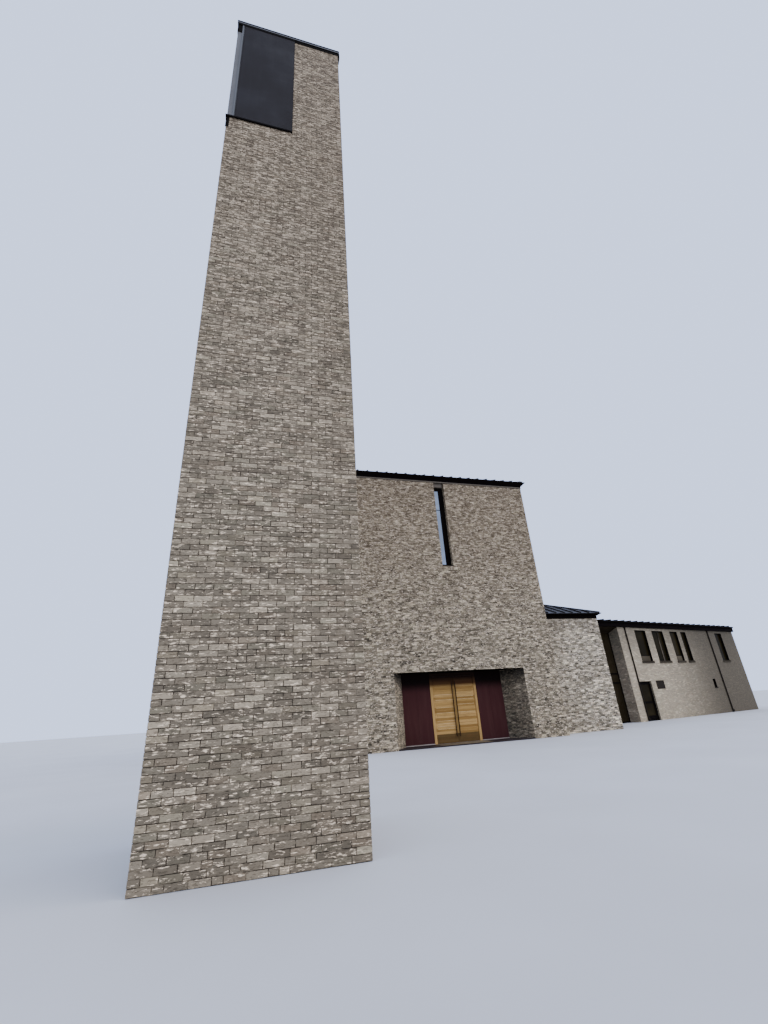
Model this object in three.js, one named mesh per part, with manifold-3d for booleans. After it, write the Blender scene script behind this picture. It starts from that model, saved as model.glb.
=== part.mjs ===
// A modern brick church: a slender bell tower, a tall nave with a deep entrance porch,
// a lean-to annex, a glazed link and a two-storey wing turned a little away from the nave.
// Millimetres, +Z up, X along the church front, Y into its depth.
// The origin is on the ground at the middle of the main doors.
import * as THREE from 'three';
import Module from 'manifold-3d';
import { ConvexGeometry } from 'three/addons/geometries/ConvexGeometry.js';
import { mergeVertices } from 'three/addons/utils/BufferGeometryUtils.js';

const wasm = await Module();
wasm.setup();

// Driving dimensions
const GAP = 0.3;
const MOVING_GAP = 6;
const ROOF_RISE = 0.4245;
const ROOF_DEPTH = 150;
const ROOF_EDGE = 30;
const OVERHANG = 220;
const EAVES_LIP = 20;

const TOWER = { left: -10480, right: -8000, front: -15820, back: -13340, top: 17500, wall: 300 };
const BELFRY = { right: -9110, back: -14450, sill: 13380, sillDepth: 40, post: 145, panel: 40, proud: 25 };
const TOWER_CAP = { depth: 50, overhang: 30 };

const NAVE = { half: 5100, front: -1150, back: 14850, top: 12950, wall: 400, knee: 30, eaves: 220 };
const PORTAL = { half: 3270, innerHalf: 2590, height: 3100, cheek: 400, soffit: 150 };
const FLOOR = 50;
const SCREEN = { front: 0, back: 100, panelBack: 80, postFront: -10, postBack: 90 };
const DOOR = { post: 120, half: 1185, head: 2940, thick: 60, boss: 12, meeting: 5 };
const PULL = { from: 310, to: 2700, offset: 80, foot: 100, bar: 34, standOff: 74, bracket: 24 };
const SLOT = { half: 300, sill: 8180, head: NAVE.top, glassSetBack: 270, glass: 30 };

const ANNEX = { right: 9060, front: -70, back: 10200, top: 5600, wall: 350, knee: 140, eaves: 240 };

const WING = { x: 13801, y: 3867, turn: 13.93, length: 14570, depth: 7000, top: 5750, wall: 350 };
const WING_ROOF = { overhang: 120, edge: 6150, ridge: 6450 };
const WING_FLOOR = { bottom: 2750, top: 3000 };
const UPPER_WINDOWS = [[1765, 2970], [3700, 5010], [5840, 6750], [7215, 7870], [11870, 12810]];
const UPPER_ROW = { sill: 3470, head: 5590, setBack: 150 };
const UPPER_SHEET = { from: 1500, to: 13050, sill: 3350, head: 5700, thick: 24 };
const SMALL_WINDOW = { from: 9520, to: 9850, sill: 1720, head: 2290, pane: 30 };
const WING_DOOR = { from: 830, to: 2090, head: 2330, frame: 60, front: 100, depth: 90, thick: 54 };
const DOWNPIPES = { at: [740, 10820], radius: 45 };
const PLAQUE = { from: 2610, to: 3450, bottom: 1830, top: 2345, thick: 30 };
const LINK = { setBack: 755, screen: 80, roofLeft: 9285 };

// Materials
const finish = (color, roughness, metalness = 0) =>
  new THREE.MeshStandardMaterial({ color, roughness, metalness });
const brick = () => finish(0x8c837b, 0.9);
const darkMetal = () => finish(0x24262a, 0.45, 0.6);
const roofMetal = () => finish(0x2f3236, 0.5, 0.5);
const paleMetal = () => finish(0x9aa3a9, 0.4, 0.5);
const maroon = () => finish(0x3f2028, 0.5);
const oak = () => finish(0xb07c42, 0.55);
const glass = () => finish(0x5a7186, 0.1);
const concrete = () => finish(0x8a8780, 0.85);

const church = new THREE.Group();
const wing = new THREE.Group();
wing.position.set(WING.x, WING.y, 0);
wing.rotation.z = THREE.MathUtils.degToRad(WING.turn);
church.add(wing);

// Adds one named sub-part to a group.
function add(name, geometry, material, group = church) {
  const mesh = new THREE.Mesh(geometry, material);
  mesh.name = name;
  group.add(mesh);
}

// A box given by its two opposite corners.
function block(x0, x1, y0, y1, z0, z1) {
  const geometry = new THREE.BoxGeometry(x1 - x0, y1 - y0, z1 - z0);
  return geometry.translate((x0 + x1) / 2, (y0 + y1) / 2, (z0 + z1) / 2);
}

// A plan outline raised from z0 to z1.
function slab(points, z0, z1) {
  const shape = new THREE.Shape(points.map(([x, y]) => new THREE.Vector2(x, y)));
  return new THREE.ExtrudeGeometry(shape, { depth: z1 - z0, bevelEnabled: false }).translate(0, 0, z0);
}

// An outline in X and Z, running from y0 to y1.
function profileAlongY(points, y0, y1) {
  const geometry = slab(points, 0, y1 - y0);
  return geometry.rotateX(Math.PI / 2).translate(0, y1, 0);
}

// An outline in Y and Z, running from x0 to x1.
function profileAlongX(points, x0, x1) {
  const geometry = slab(points, 0, x1 - x0);
  return geometry.rotateX(Math.PI / 2).rotateZ(Math.PI / 2).translate(x0, 0, 0);
}

function toSolid(geometry) {
  const bare = geometry.clone();
  bare.deleteAttribute('normal');
  bare.deleteAttribute('uv');
  const merged = mergeVertices(bare.index ? bare.toNonIndexed() : bare, 1e-3);
  return new wasm.Manifold(new wasm.Mesh({
    numProp: 3,
    vertProperties: new Float32Array(merged.attributes.position.array),
    triVerts: new Uint32Array(merged.index.array),
  }));
}

function toGeometry(solid) {
  const mesh = solid.getMesh();
  const geometry = new THREE.BufferGeometry();
  geometry.setAttribute('position', new THREE.BufferAttribute(mesh.vertProperties, 3));
  geometry.setIndex(new THREE.BufferAttribute(mesh.triVerts, 1));
  return geometry;
}

const cut = (geometry, ...tools) =>
  toGeometry(tools.reduce((solid, tool) => solid.subtract(toSolid(tool)), toSolid(geometry)));
const join = (geometry, ...others) =>
  toGeometry(others.reduce((solid, other) => solid.add(toSolid(other)), toSolid(geometry)));

// A roof shell of even upright thickness under the given corners, thinner and flat over the eaves.
function roofShell(corners) {
  const points = corners.flatMap(([x, y, z]) => [
    new THREE.Vector3(x, y, z),
    new THREE.Vector3(x, y, z - ROOF_EDGE),
  ]);
  const outer = new ConvexGeometry(points);
  return cut(outer, outer.clone().translate(0, 0, -ROOF_DEPTH));
}

// An eaves ring: upright above the wall up to the knee, then leaning out to a thin outer edge.
// outline gives the plan's x0, x1, y0 and y1 at a distance outside the walls.
function eavesRing(outline, bottom, knee, top, hole) {
  const corners = (out, z) => {
    const [x0, x1, y0, y1] = outline(out);
    return [[x0, y0], [x1, y0], [x1, y1], [x0, y1]].map(([x, y]) => new THREE.Vector3(x, y, z));
  };
  const upright = new ConvexGeometry([...corners(EAVES_LIP, bottom), ...corners(EAVES_LIP, top)]);
  const leaning = new ConvexGeometry([...corners(EAVES_LIP, knee), ...corners(OVERHANG, top)]);
  return cut(join(upright, leaning), hole);
}

// Two mirrored copies of a plan outline share one function.
const mirrored = (points, side) => (side < 0 ? points : points.map(([x, y]) => [-x, y]).reverse());

// A door leaf standing on a pivot boss, with a round heel about its hinge axis.
function doorLeaf(axisX, axisY, toeX, bottom, top, thick, bossRadius, bossBottom) {
  const radius = thick / 2;
  const away = Math.sign(toeX - axisX);
  const shape = new THREE.Shape();
  shape.moveTo(axisX, axisY - radius);
  shape.lineTo(toeX, axisY - radius);
  shape.lineTo(toeX, axisY + radius);
  shape.lineTo(axisX, axisY + radius);
  const clockwise = away < 0;
  shape.absarc(axisX, axisY, radius, Math.PI / 2, -Math.PI / 2, clockwise);
  const panel = new THREE.ExtrudeGeometry(shape, {
    depth: top - bottom, bevelEnabled: false, curveSegments: 16,
  }).translate(0, 0, bottom);
  const bossDepth = bottom + radius - bossBottom;
  const boss = new THREE.CylinderGeometry(bossRadius, bossRadius, bossDepth, 24).rotateX(Math.PI / 2);
  return join(panel, boss.translate(axisX, axisY, bossBottom + bossDepth / 2));
}

// Bell tower: four brick walls, notched at the front left corner for the belfry
function buildTower() {
  const { left, right, front, back, top, wall } = TOWER;
  const notch = (outer, inner, far) => [
    [outer, 0], [far, 0], [far, top], [inner, top], [inner, BELFRY.sill], [outer, BELFRY.sill],
  ];
  add('tower_front_wall', profileAlongY(notch(left, BELFRY.right, right), front, front + wall), brick());
  add('tower_left_wall', profileAlongX(
    notch(front + wall + GAP, BELFRY.back, back - wall - GAP), left, left + wall), brick());
  add('tower_right_wall', block(
    right - wall, right, front + wall + GAP, back - wall - GAP, 0, top), brick());
  add('tower_back_wall', block(left, right, back - wall, back, 0, top), brick());

  const sillTop = BELFRY.sill + BELFRY.sillDepth;
  const out = BELFRY.proud + 10;
  add('belfry_sill', slab([
    [left - out, front - out], [BELFRY.right - GAP, front - out], [BELFRY.right - GAP, front + wall],
    [left + wall, front + wall], [left + wall, BELFRY.back - GAP], [left - out, BELFRY.back - GAP],
  ], BELFRY.sill + GAP, sillTop), darkMetal());
  const panelBottom = sillTop + GAP;
  const panelTop = top;
  add('belfry_corner_post', block(
    left, left + BELFRY.post, front, front + BELFRY.post, panelBottom, panelTop), paleMetal());
  add('belfry_front_panel', block(
    left + BELFRY.post + GAP, BELFRY.right - GAP,
    front - BELFRY.proud, front - BELFRY.proud + BELFRY.panel, panelBottom, panelTop), darkMetal());
  add('belfry_side_panel', block(
    left - BELFRY.proud, left - BELFRY.proud + BELFRY.panel,
    front + BELFRY.post + GAP, BELFRY.back - GAP, panelBottom, panelTop), darkMetal());
  const lip = TOWER_CAP.overhang;
  add('tower_cap', block(
    left - lip, right + lip, front - lip, back + lip, top + GAP, top + TOWER_CAP.depth), darkMetal());
}

// Nave: brick walls with a porch cut through the front, a floor, eaves and a hipped metal roof
function buildNave() {
  const { half, front, back, top, wall } = NAVE;
  const inner = front + wall;
  const slotHole = (y0, y1) => block(-SLOT.half, SLOT.half, y0 - 100, y1 + 100, SLOT.sill, SLOT.head);
  add('nave_front_wall_left', block(-half, -PORTAL.half - GAP, front, inner, 0, PORTAL.height - GAP), brick());
  add('nave_front_wall_right', block(PORTAL.half + GAP, half, front, inner, 0, PORTAL.height - GAP), brick());
  add('nave_front_wall_upper', cut(
    block(-half, half, front, inner, PORTAL.height, top), slotHole(front, inner)), brick());
  const backFront = back - wall;
  add('nave_back_wall', cut(block(-half, half, backFront, back, 0, top), slotHole(backFront, back)), brick());
  const sideFrom = inner + GAP;
  const sideTo = backFront - GAP;
  add('nave_left_wall', block(-half, -half + wall, sideFrom, sideTo, 0, top), brick());
  add('nave_right_wall', block(half - wall, half, sideFrom, sideTo, 0, top), brick());

  const pane = (y0) => block(
    -SLOT.half + GAP, SLOT.half - GAP, y0, y0 + SLOT.glass, SLOT.sill + GAP, SLOT.head - GAP);
  add('front_slot_glass', pane(front + SLOT.glassSetBack), glass());
  add('back_slot_glass', pane(back - SLOT.glassSetBack - SLOT.glass), glass());

  add('nave_floor', block(
    -half + wall + GAP, half - wall - GAP, SCREEN.back + GAP, sideTo, 0, FLOOR), concrete());

  add('nave_eaves', eavesRing(
    (out) => [-half - out, half + out, front - out, back + out],
    top + GAP, top + NAVE.knee, top + NAVE.eaves,
    block(-half + wall, half - wall, inner, backFront, top - wall, top + wall)), darkMetal());
  const edge = half + OVERHANG;
  const roofEdge = top + NAVE.eaves + GAP + ROOF_EDGE;
  const ridge = roofEdge + edge * ROOF_RISE;
  add('nave_roof', roofShell([
    [-edge, front - OVERHANG, roofEdge], [edge, front - OVERHANG, roofEdge],
    [edge, back + OVERHANG, roofEdge], [-edge, back + OVERHANG, roofEdge],
    [0, front - OVERHANG + edge, ridge], [0, back + OVERHANG - edge, ridge],
  ]), roofMetal());
}

// Porch: splayed brick cheeks, soffit, floor and a screen of maroon panels round the oak doors
function buildPortal() {
  const { half, innerHalf, cheek, height } = PORTAL;
  const front = NAVE.front;
  const inner = front + NAVE.wall;
  const splay = (half - innerHalf) / (SCREEN.front - front);
  const cheekBack = front + cheek / splay;
  const cheekOutline = [
    [-half, front], [-innerHalf, SCREEN.front], [-innerHalf, SCREEN.back],
    [-innerHalf - cheek, SCREEN.back], [-half, cheekBack],
  ];
  const panelTop = height - GAP;
  const panelBottom = FLOOR + GAP;
  for (const [name, side] of [['left', -1], ['right', 1]]) {
    add(`porch_cheek_${name}`, slab(mirrored(cheekOutline, side), 0, height - GAP), brick());
    const ends = [side * (innerHalf - GAP), side * (DOOR.half + GAP)].sort((a, b) => a - b);
    add(`porch_panel_${name}`, block(
      ends[0], ends[1], SCREEN.front, SCREEN.panelBack, panelBottom, panelTop), maroon());
  }
  add('porch_soffit', block(
    -half, half, inner + GAP, SCREEN.back, height, height + PORTAL.soffit), darkMetal());
  const edge = 1;
  add('porch_floor', slab([
    [-half + edge, front], [half - edge, front], [innerHalf - edge, SCREEN.front],
    [innerHalf - edge, SCREEN.back], [-innerHalf + edge, SCREEN.back], [-innerHalf + edge, SCREEN.front],
  ], 0, FLOOR), concrete());

  const open = DOOR.half - DOOR.post;
  add('main_door_frame', profileAlongY([
    [-DOOR.half, panelBottom], [-open, panelBottom], [-open, DOOR.head], [open, DOOR.head],
    [open, panelBottom], [DOOR.half, panelBottom], [DOOR.half, panelTop], [-DOOR.half, panelTop],
  ], SCREEN.postFront, SCREEN.postBack), oak());

  const axisX = open - MOVING_GAP - DOOR.thick / 2;
  const axisY = (SCREEN.postFront + SCREEN.postBack) / 2;
  const leafBottom = FLOOR + MOVING_GAP + 4;
  const leafTop = DOOR.head - MOVING_GAP;
  const face = axisY - DOOR.thick / 2;
  for (const [name, side] of [['left', -1], ['right', 1]]) {
    add(`main_door_leaf_${name}`, doorLeaf(
      side * axisX, axisY, side * DOOR.meeting, leafBottom, leafTop,
      DOOR.thick, DOOR.boss, FLOOR + GAP), oak());
    const x = side * PULL.offset;
    const w = PULL.bar / 2;
    const barBack = face - PULL.standOff + PULL.bar;
    const foot = (z) => block(
      x - PULL.bracket / 2, x + PULL.bracket / 2, barBack - w, face - GAP, z, z + PULL.bracket);
    add(`main_door_pull_${name}`, join(
      block(x - w, x + w, barBack - PULL.bar, barBack, PULL.from, PULL.to),
      foot(PULL.from + PULL.foot), foot((PULL.from + PULL.to) / 2),
      foot(PULL.to - PULL.foot - PULL.bracket)), darkMetal());
  }
}

// Annex: a low lean-to against the right side of the nave, with a hipped roof
function buildAnnex() {
  const { right, front, back, top, wall } = ANNEX;
  const left = NAVE.half + GAP;
  add('annex_front_wall', block(left, right, front, front + wall, 0, top), brick());
  add('annex_right_wall', block(
    right - wall, right, front + wall + GAP, back - wall - GAP, 0, top), brick());
  add('annex_back_wall', block(left, right, back - wall, back, 0, top), brick());
  add('annex_eaves', eavesRing(
    (out) => [left, right + out, front - out, back + out],
    top + GAP, top + ANNEX.knee, top + ANNEX.eaves,
    block(left - wall, right - wall, front + wall, back - wall, top - wall, top + wall)), darkMetal());
  const y0 = front - OVERHANG;
  const y1 = back + OVERHANG;
  const x1 = right + OVERHANG;
  const edge = top + ANNEX.eaves + GAP + ROOF_EDGE;
  const run = x1 - left;
  const peak = edge + run * ROOF_RISE;
  add('annex_roof', roofShell([
    [left, y0, edge], [x1, y0, edge], [x1, y1, edge], [left, y1, edge],
    [left, y0 + run, peak], [left, y1 - run, peak],
  ]), roofMetal());
}

// The length along the wing's front at which a line at depth t meets the plane x.
function alongAtX(x, t) {
  const turn = THREE.MathUtils.degToRad(WING.turn);
  return (x - WING.x + Math.sin(turn) * t) / Math.cos(turn);
}

// Wing: two storeys, five tall upper windows on each long side, a door and a small window below
function buildWing() {
  const { length, depth, top, wall } = WING;
  const put = (name, geometry, material) => add(name, geometry, material, wing);
  const holes = (y0, y1) => UPPER_WINDOWS.map(([from, to]) =>
    block(from, to, y0 - 100, y1 + 100, UPPER_ROW.sill, UPPER_ROW.head));
  const head = WING_DOOR.head;
  put('wing_front_wall_left', block(0, WING_DOOR.from - GAP, 0, wall, 0, head - GAP), brick());
  put('wing_front_wall_lower', cut(
    block(WING_DOOR.to + GAP, length, 0, wall, 0, head - GAP),
    block(SMALL_WINDOW.from, SMALL_WINDOW.to, -100, wall + 100, SMALL_WINDOW.sill, SMALL_WINDOW.head)), brick());
  put('wing_front_wall_upper', cut(block(0, length, 0, wall, head, top), ...holes(0, wall)), brick());
  const inBack = depth - wall;
  put('wing_left_wall', block(0, wall, wall + GAP, inBack - GAP, 0, top), brick());
  put('wing_right_wall', block(length - wall, length, wall + GAP, inBack - GAP, 0, top), brick());

  const backLeft = alongAtX(ANNEX.right + GAP, depth);
  const shoulder = alongAtX(LINK.roofLeft, depth);
  put('wing_back_wall', cut(profileAlongY([
    [backLeft, 0], [length, 0], [length, top], [shoulder, top],
    [shoulder, ANNEX.top - GAP], [backLeft, ANNEX.top - GAP],
  ], inBack, depth), ...holes(inBack, depth)), brick());

  const floor = (z0, z1) => block(
    wall + GAP, length - wall - GAP, wall + GAP, inBack - GAP, z0, z1);
  put('wing_ground_floor', floor(0, FLOOR), concrete());
  put('wing_upper_floor', floor(WING_FLOOR.bottom, WING_FLOOR.top), concrete());

  const o = WING_ROOF.overhang;
  const bar = profileAlongX([
    [-o, top + GAP], [depth + o, top + GAP], [depth + o, WING_ROOF.edge],
    [depth / 2, WING_ROOF.ridge], [-o, WING_ROOF.edge],
  ], alongAtX(ANNEX.right, -o), length + o);
  const trim = slab([
    [alongAtX(LINK.roofLeft, -2 * o), -2 * o], [alongAtX(LINK.roofLeft, depth + 2 * o), depth + 2 * o],
    [-length, depth + 2 * o], [-length, -2 * o],
  ], top - o, WING_ROOF.ridge + o);
  put('wing_roof', cut(bar, trim), roofMetal());

  const sheet = (y0) => block(
    UPPER_SHEET.from, UPPER_SHEET.to, y0, y0 + UPPER_SHEET.thick, UPPER_SHEET.sill, UPPER_SHEET.head);
  const panes = (y0, y1) => UPPER_WINDOWS.map(([from, to]) => block(
    from + GAP, to - GAP, y0, y1, UPPER_ROW.sill + GAP, UPPER_ROW.head - GAP));
  put('wing_front_windows', join(
    sheet(wall + GAP), ...panes(UPPER_ROW.setBack, wall + UPPER_SHEET.thick / 2)), glass());
  put('wing_back_windows', join(
    sheet(inBack - GAP - UPPER_SHEET.thick),
    ...panes(inBack - UPPER_SHEET.thick / 2, depth - UPPER_ROW.setBack)), glass());
  put('wing_small_window', block(
    SMALL_WINDOW.from + GAP, SMALL_WINDOW.to - GAP, UPPER_ROW.setBack, UPPER_ROW.setBack + SMALL_WINDOW.pane,
    SMALL_WINDOW.sill + GAP, SMALL_WINDOW.head - GAP), glass());

  const d = WING_DOOR;
  put('wing_door_frame', cut(
    block(d.from + GAP, d.to - GAP, d.front, d.front + d.depth, 0, head - GAP),
    block(d.from + d.frame, d.to - d.frame, 0, wall, FLOOR, head - d.frame)), darkMetal());
  const axisX = d.from + d.frame + MOVING_GAP + d.thick / 2;
  put('wing_door_leaf', doorLeaf(
    axisX, d.front + d.depth / 2, d.to - d.frame - MOVING_GAP, FLOOR + MOVING_GAP + 4,
    head - d.frame - MOVING_GAP, d.thick, DOOR.boss, FLOOR + GAP), darkMetal());

  const r = DOWNPIPES.radius;
  ['left', 'right'].forEach((name, i) => {
    const pipe = new THREE.CylinderGeometry(r, r, top, 24).rotateX(Math.PI / 2);
    put(`wing_downpipe_${name}`, pipe.translate(DOWNPIPES.at[i], -r - GAP, top / 2), darkMetal());
  });
  put('wing_plaque', block(
    PLAQUE.from, PLAQUE.to, -PLAQUE.thick - GAP, -GAP, PLAQUE.bottom, PLAQUE.top), darkMetal());
}

// Link: a dark glazed recess between the annex and the wing, under the wing's roof
function buildLink() {
  const put = (name, geometry, material) => add(name, geometry, material, wing);
  const back = LINK.setBack + LINK.screen;
  const left = alongAtX(ANNEX.right + GAP, back);
  const shoulder = alongAtX(LINK.roofLeft, back);
  put('link_screen', profileAlongY([
    [left, 0], [-GAP, 0], [-GAP, WING.top], [shoulder, WING.top],
    [shoulder, ANNEX.top - GAP], [left, ANNEX.top - GAP],
  ], LINK.setBack, back), glass());
  const floorBack = WING.depth - WING.wall - GAP;
  put('link_floor', slab([
    [alongAtX(ANNEX.right + GAP, back + GAP), back + GAP], [-GAP, back + GAP],
    [-GAP, floorBack], [alongAtX(ANNEX.right + GAP, floorBack), floorBack],
  ], 0, FLOOR), concrete());
}

buildTower();
buildNave();
buildPortal();
buildAnnex();
buildWing();
buildLink();

export default church;
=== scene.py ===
"""Looks of a modern brick church: bell tower, tall nave with a deep porch, annex, glazed link and wing.

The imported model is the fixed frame. This file lays real bricks on its walls, puts seams on its roofs,
frames and panes in its windows, boards on its doors, and gives every surface its finish.
All lengths are in metres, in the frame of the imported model: X along the church front, Y into its depth,
Z up, with the origin on the ground at the middle of the main doors.
"""

import logging  # noqa: E402
import math  # noqa: E402
from bisect import bisect_left  # noqa: E402
from dataclasses import dataclass  # noqa: E402
from enum import Enum, unique  # noqa: E402
from functools import cache  # noqa: E402
from typing import Any, Iterable, Sequence  # noqa: E402

import bmesh  # noqa: E402
import bpy  # noqa: E402
import numpy as np  # noqa: E402
from mathutils import Matrix, Vector  # noqa: E402


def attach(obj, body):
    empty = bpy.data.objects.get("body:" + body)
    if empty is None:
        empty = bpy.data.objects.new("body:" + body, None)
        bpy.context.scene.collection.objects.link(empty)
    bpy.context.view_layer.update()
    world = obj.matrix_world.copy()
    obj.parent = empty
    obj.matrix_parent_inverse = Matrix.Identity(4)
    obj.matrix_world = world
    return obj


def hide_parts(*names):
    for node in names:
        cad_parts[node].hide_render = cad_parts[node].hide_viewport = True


log = logging.getLogger("church")
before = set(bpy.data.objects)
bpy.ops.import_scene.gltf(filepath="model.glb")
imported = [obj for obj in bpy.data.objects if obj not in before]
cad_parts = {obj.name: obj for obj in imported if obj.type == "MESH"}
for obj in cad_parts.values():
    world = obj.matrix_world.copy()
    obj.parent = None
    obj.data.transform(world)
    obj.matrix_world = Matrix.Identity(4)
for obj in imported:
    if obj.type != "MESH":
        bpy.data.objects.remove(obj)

Pair = tuple[float, float]
Triple = tuple[float, float, float]
Four = tuple[float, float, float, float]
Colour = Triple
Stops = tuple[tuple[float, Colour], ...]
Inputs = dict[str | int, Any]
Socket = bpy.types.NodeSocket
Material = bpy.types.Material
Mesh = bpy.types.Mesh
Piece = bpy.types.Object

TONE = "tone"
BAKE_MAP = "OFBake"
SMOOTH_ANGLE = math.radians(35.0)
MIDDLE_TONE = 0.5

# Where nearly all values of a noise lie.
MOST_NOISE = (0.3, 0.7)

# Widths of worn edges on sheet and on stone, and the hair's breadth that keeps two surfaces apart.
WORN_EDGE = 0.002
ROUND_EDGE = 0.003
HAIR = 0.001

# The sides of a rectangle in plan, in the order in which walk() goes round it.
SIDES = ("front", "right", "back", "left")


class Body(Enum):
    """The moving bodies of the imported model."""

    BUILDING = "root"
    DOOR_LEFT = "main_door_left"
    DOOR_RIGHT = "main_door_right"
    WING_DOOR = "wing_door"


class Slot(Enum):
    """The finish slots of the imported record."""

    BRICK = "brick"
    DARK_METAL = "dark_metal"
    ROOF_METAL = "roof_metal"
    PALE_METAL = "pale_metal"
    MAROON = "maroon_panel"
    OAK = "oak"
    GLASS = "glass"
    CONCRETE = "concrete"


def span(first: float, last: float) -> Pair:
    """Gives a range with its two ends in order."""
    return min(first, last), max(first, last)


class Side(Enum):
    """Left or right of the main doors, as the sign of X."""

    LEFT = -1
    RIGHT = 1

    def span(self, near: float, far: float) -> Pair:
        """Gives a range along X from two distances off the middle line."""
        return span(self.value * near, self.value * far)


def shade(red: float, green: float, blue: float) -> Colour:
    """Turns a screen shade into the linear light that a shader takes.

    Args:
        red: Red from 0 to 255.
        green: Green from 0 to 255.
        blue: Blue from 0 to 255.

    Returns:
        The same shade in linear light.
    """
    knee, slope, offset, power = 0.04045, 12.92, 0.055, 2.4
    linear = []
    for value in (red, green, blue):
        share = value / 255.0
        curved = ((share + offset) / (1.0 + offset)) ** power
        linear.append(share / slope if share <= knee else curved)
    return linear[0], linear[1], linear[2]


class Paint:
    """A node material under construction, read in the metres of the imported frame."""

    MIX_COLOURS = (6, 7)
    MIX_RESULT = 2

    def __init__(self, name: str) -> None:
        """Starts a material with one principled shader.

        Args:
            name: Name of the material.
        """
        self.material = bpy.data.materials.new(name)
        self.material.use_nodes = True
        self.tree = self.material.node_tree
        self.shader = next(n for n in self.tree.nodes if n.type == "BSDF_PRINCIPLED")
        self.place = self.node("ShaderNodeTexCoord", "Object", {})

    def feed(self, node: bpy.types.Node, inputs: Inputs) -> None:
        """Feeds a node.

        Args:
            node: The node.
            inputs: What each input gets, by its name or place: a socket, a number or a colour.
        """
        for key, value in inputs.items():
            socket = node.inputs[key]
            if isinstance(value, Socket):
                self.tree.links.new(value, socket)
            elif isinstance(value, tuple) and socket.type == "RGBA":
                socket.default_value = (*value, 1.0)
            else:
                socket.default_value = value

    def node(self, kind: str, out: str | int, inputs: Inputs, **settings: Any) -> Socket:
        """Adds a node and feeds it.

        Args:
            kind: Blender's name for the kind of node.
            out: Name or place of the output that is wanted.
            inputs: What its inputs get.
            **settings: Properties of the node.

        Returns:
            The wanted output.
        """
        made = self.tree.nodes.new(kind)
        for key, value in settings.items():
            setattr(made, key, value)
        self.feed(made, inputs)
        return made.outputs[out]

    def noise(self, scale: float, detail: float, rough: float, stretch: Triple | None = None) -> Socket:
        """Adds cloudy noise.

        Args:
            scale: Clouds to a metre, roughly.
            detail: How many finer layers it has.
            rough: How strong the finer layers are.
            stretch: Scales along X, Y and Z, for clouds that are longer one way.

        Returns:
            A value around one half.
        """
        at = self.place
        if stretch:
            at = self.node("ShaderNodeMapping", "Vector", {"Vector": at, "Scale": stretch})
        inputs = {"Vector": at, "Scale": scale, "Detail": detail, "Roughness": rough}
        return self.node("ShaderNodeTexNoise", "Fac", inputs)

    def grains(self, scale: float) -> Socket:
        """Adds cells, so many to a metre, as the distance to the nearest cell's middle."""
        return self.node("ShaderNodeTexVoronoi", "Distance", {"Vector": self.place, "Scale": scale})

    def tone(self) -> Socket:
        """Reads each face's own tone, from 0 to 1."""
        return self.node("ShaderNodeAttribute", "Fac", {}, attribute_name=TONE)

    def reach(self, axis: str) -> Socket:
        """Reads how far a point lies along an axis of the building, in metres."""
        return self.node("ShaderNodeSeparateXYZ", axis, {0: self.place})

    def sum(self, way: str, first: Any, second: Any = 0.0) -> Socket:
        """Does one sum, such as MULTIPLY, with numbers or sockets."""
        return self.node("ShaderNodeMath", 0, {0: first, 1: second}, operation=way)

    def ramp(self, value: Any, stops: Stops) -> Socket:
        """Colours a value.

        Args:
            value: What picks the colour, a socket or a number.
            stops: Places from 0 to 1 with their colours.

        Returns:
            The colour.
        """
        out = self.node("ShaderNodeValToRGB", "Color", {"Fac": value})
        points = out.node.color_ramp.elements
        while len(points) < len(stops):
            points.new(0.5)
        for point, (where, colour) in zip(points, stops):
            point.position = where
            point.color = (*colour, 1.0)
        return out

    def between(self, value: Socket, low: float, high: float, out: Pair = (0.0, 1.0)) -> Socket:
        """Stretches a value's range to another range, with soft ends."""
        inputs = {"Value": value, "From Min": low, "From Max": high, "To Min": out[0], "To Max": out[1]}
        return self.node("ShaderNodeMapRange", "Result", inputs, interpolation_type="SMOOTHSTEP")

    def blend(self, share: Any, first: Any, second: Any, way: str = "MIX") -> Socket:
        """Blends a share from 0 to 1 of a second colour into a first one."""
        inputs = {"Factor": share} | dict(zip(self.MIX_COLOURS, (first, second)))
        return self.node(
            "ShaderNodeMix", self.MIX_RESULT, inputs, data_type="RGBA", blend_type=way, clamp_factor=True)

    def relief(self, height: Socket, depth: float) -> None:
        """Gives the surface a fine relief, so many metres deep."""
        bump = self.node("ShaderNodeBump", "Normal", {"Strength": 1.0, "Distance": depth, "Height": height})
        self.feed(self.shader, {"Normal": bump})

    def finish(self, colour: Any, roughness: Any, gloss: float, metallic: float = 0.0) -> Material:
        """Feeds the shader and hands the material over.

        Args:
            colour: Base colour or socket.
            roughness: Roughness or socket.
            gloss: How much it mirrors, 0.5 being a plain varnish.
            metallic: How metallic it is.

        Returns:
            The finished material.
        """
        looks = {"Base Color": colour, "Roughness": roughness, "Metallic": metallic}
        self.feed(self.shader, looks | {"Specular IOR Level": gloss})
        return self.material


@dataclass(frozen=True)
class Wash:
    """A soft wash of colour that grows along one axis of the building; several of them are painted shade."""

    axis: str
    start: float
    end: float
    colour: Colour
    share: float

    def over(self, paint: Paint, base: Any) -> Socket:
        """Blends the wash into a colour or socket of a material under construction."""
        grown = paint.between(paint.reach(self.axis), self.start, self.end, (0.0, self.share))
        return paint.blend(grown, base, self.colour)


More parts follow.
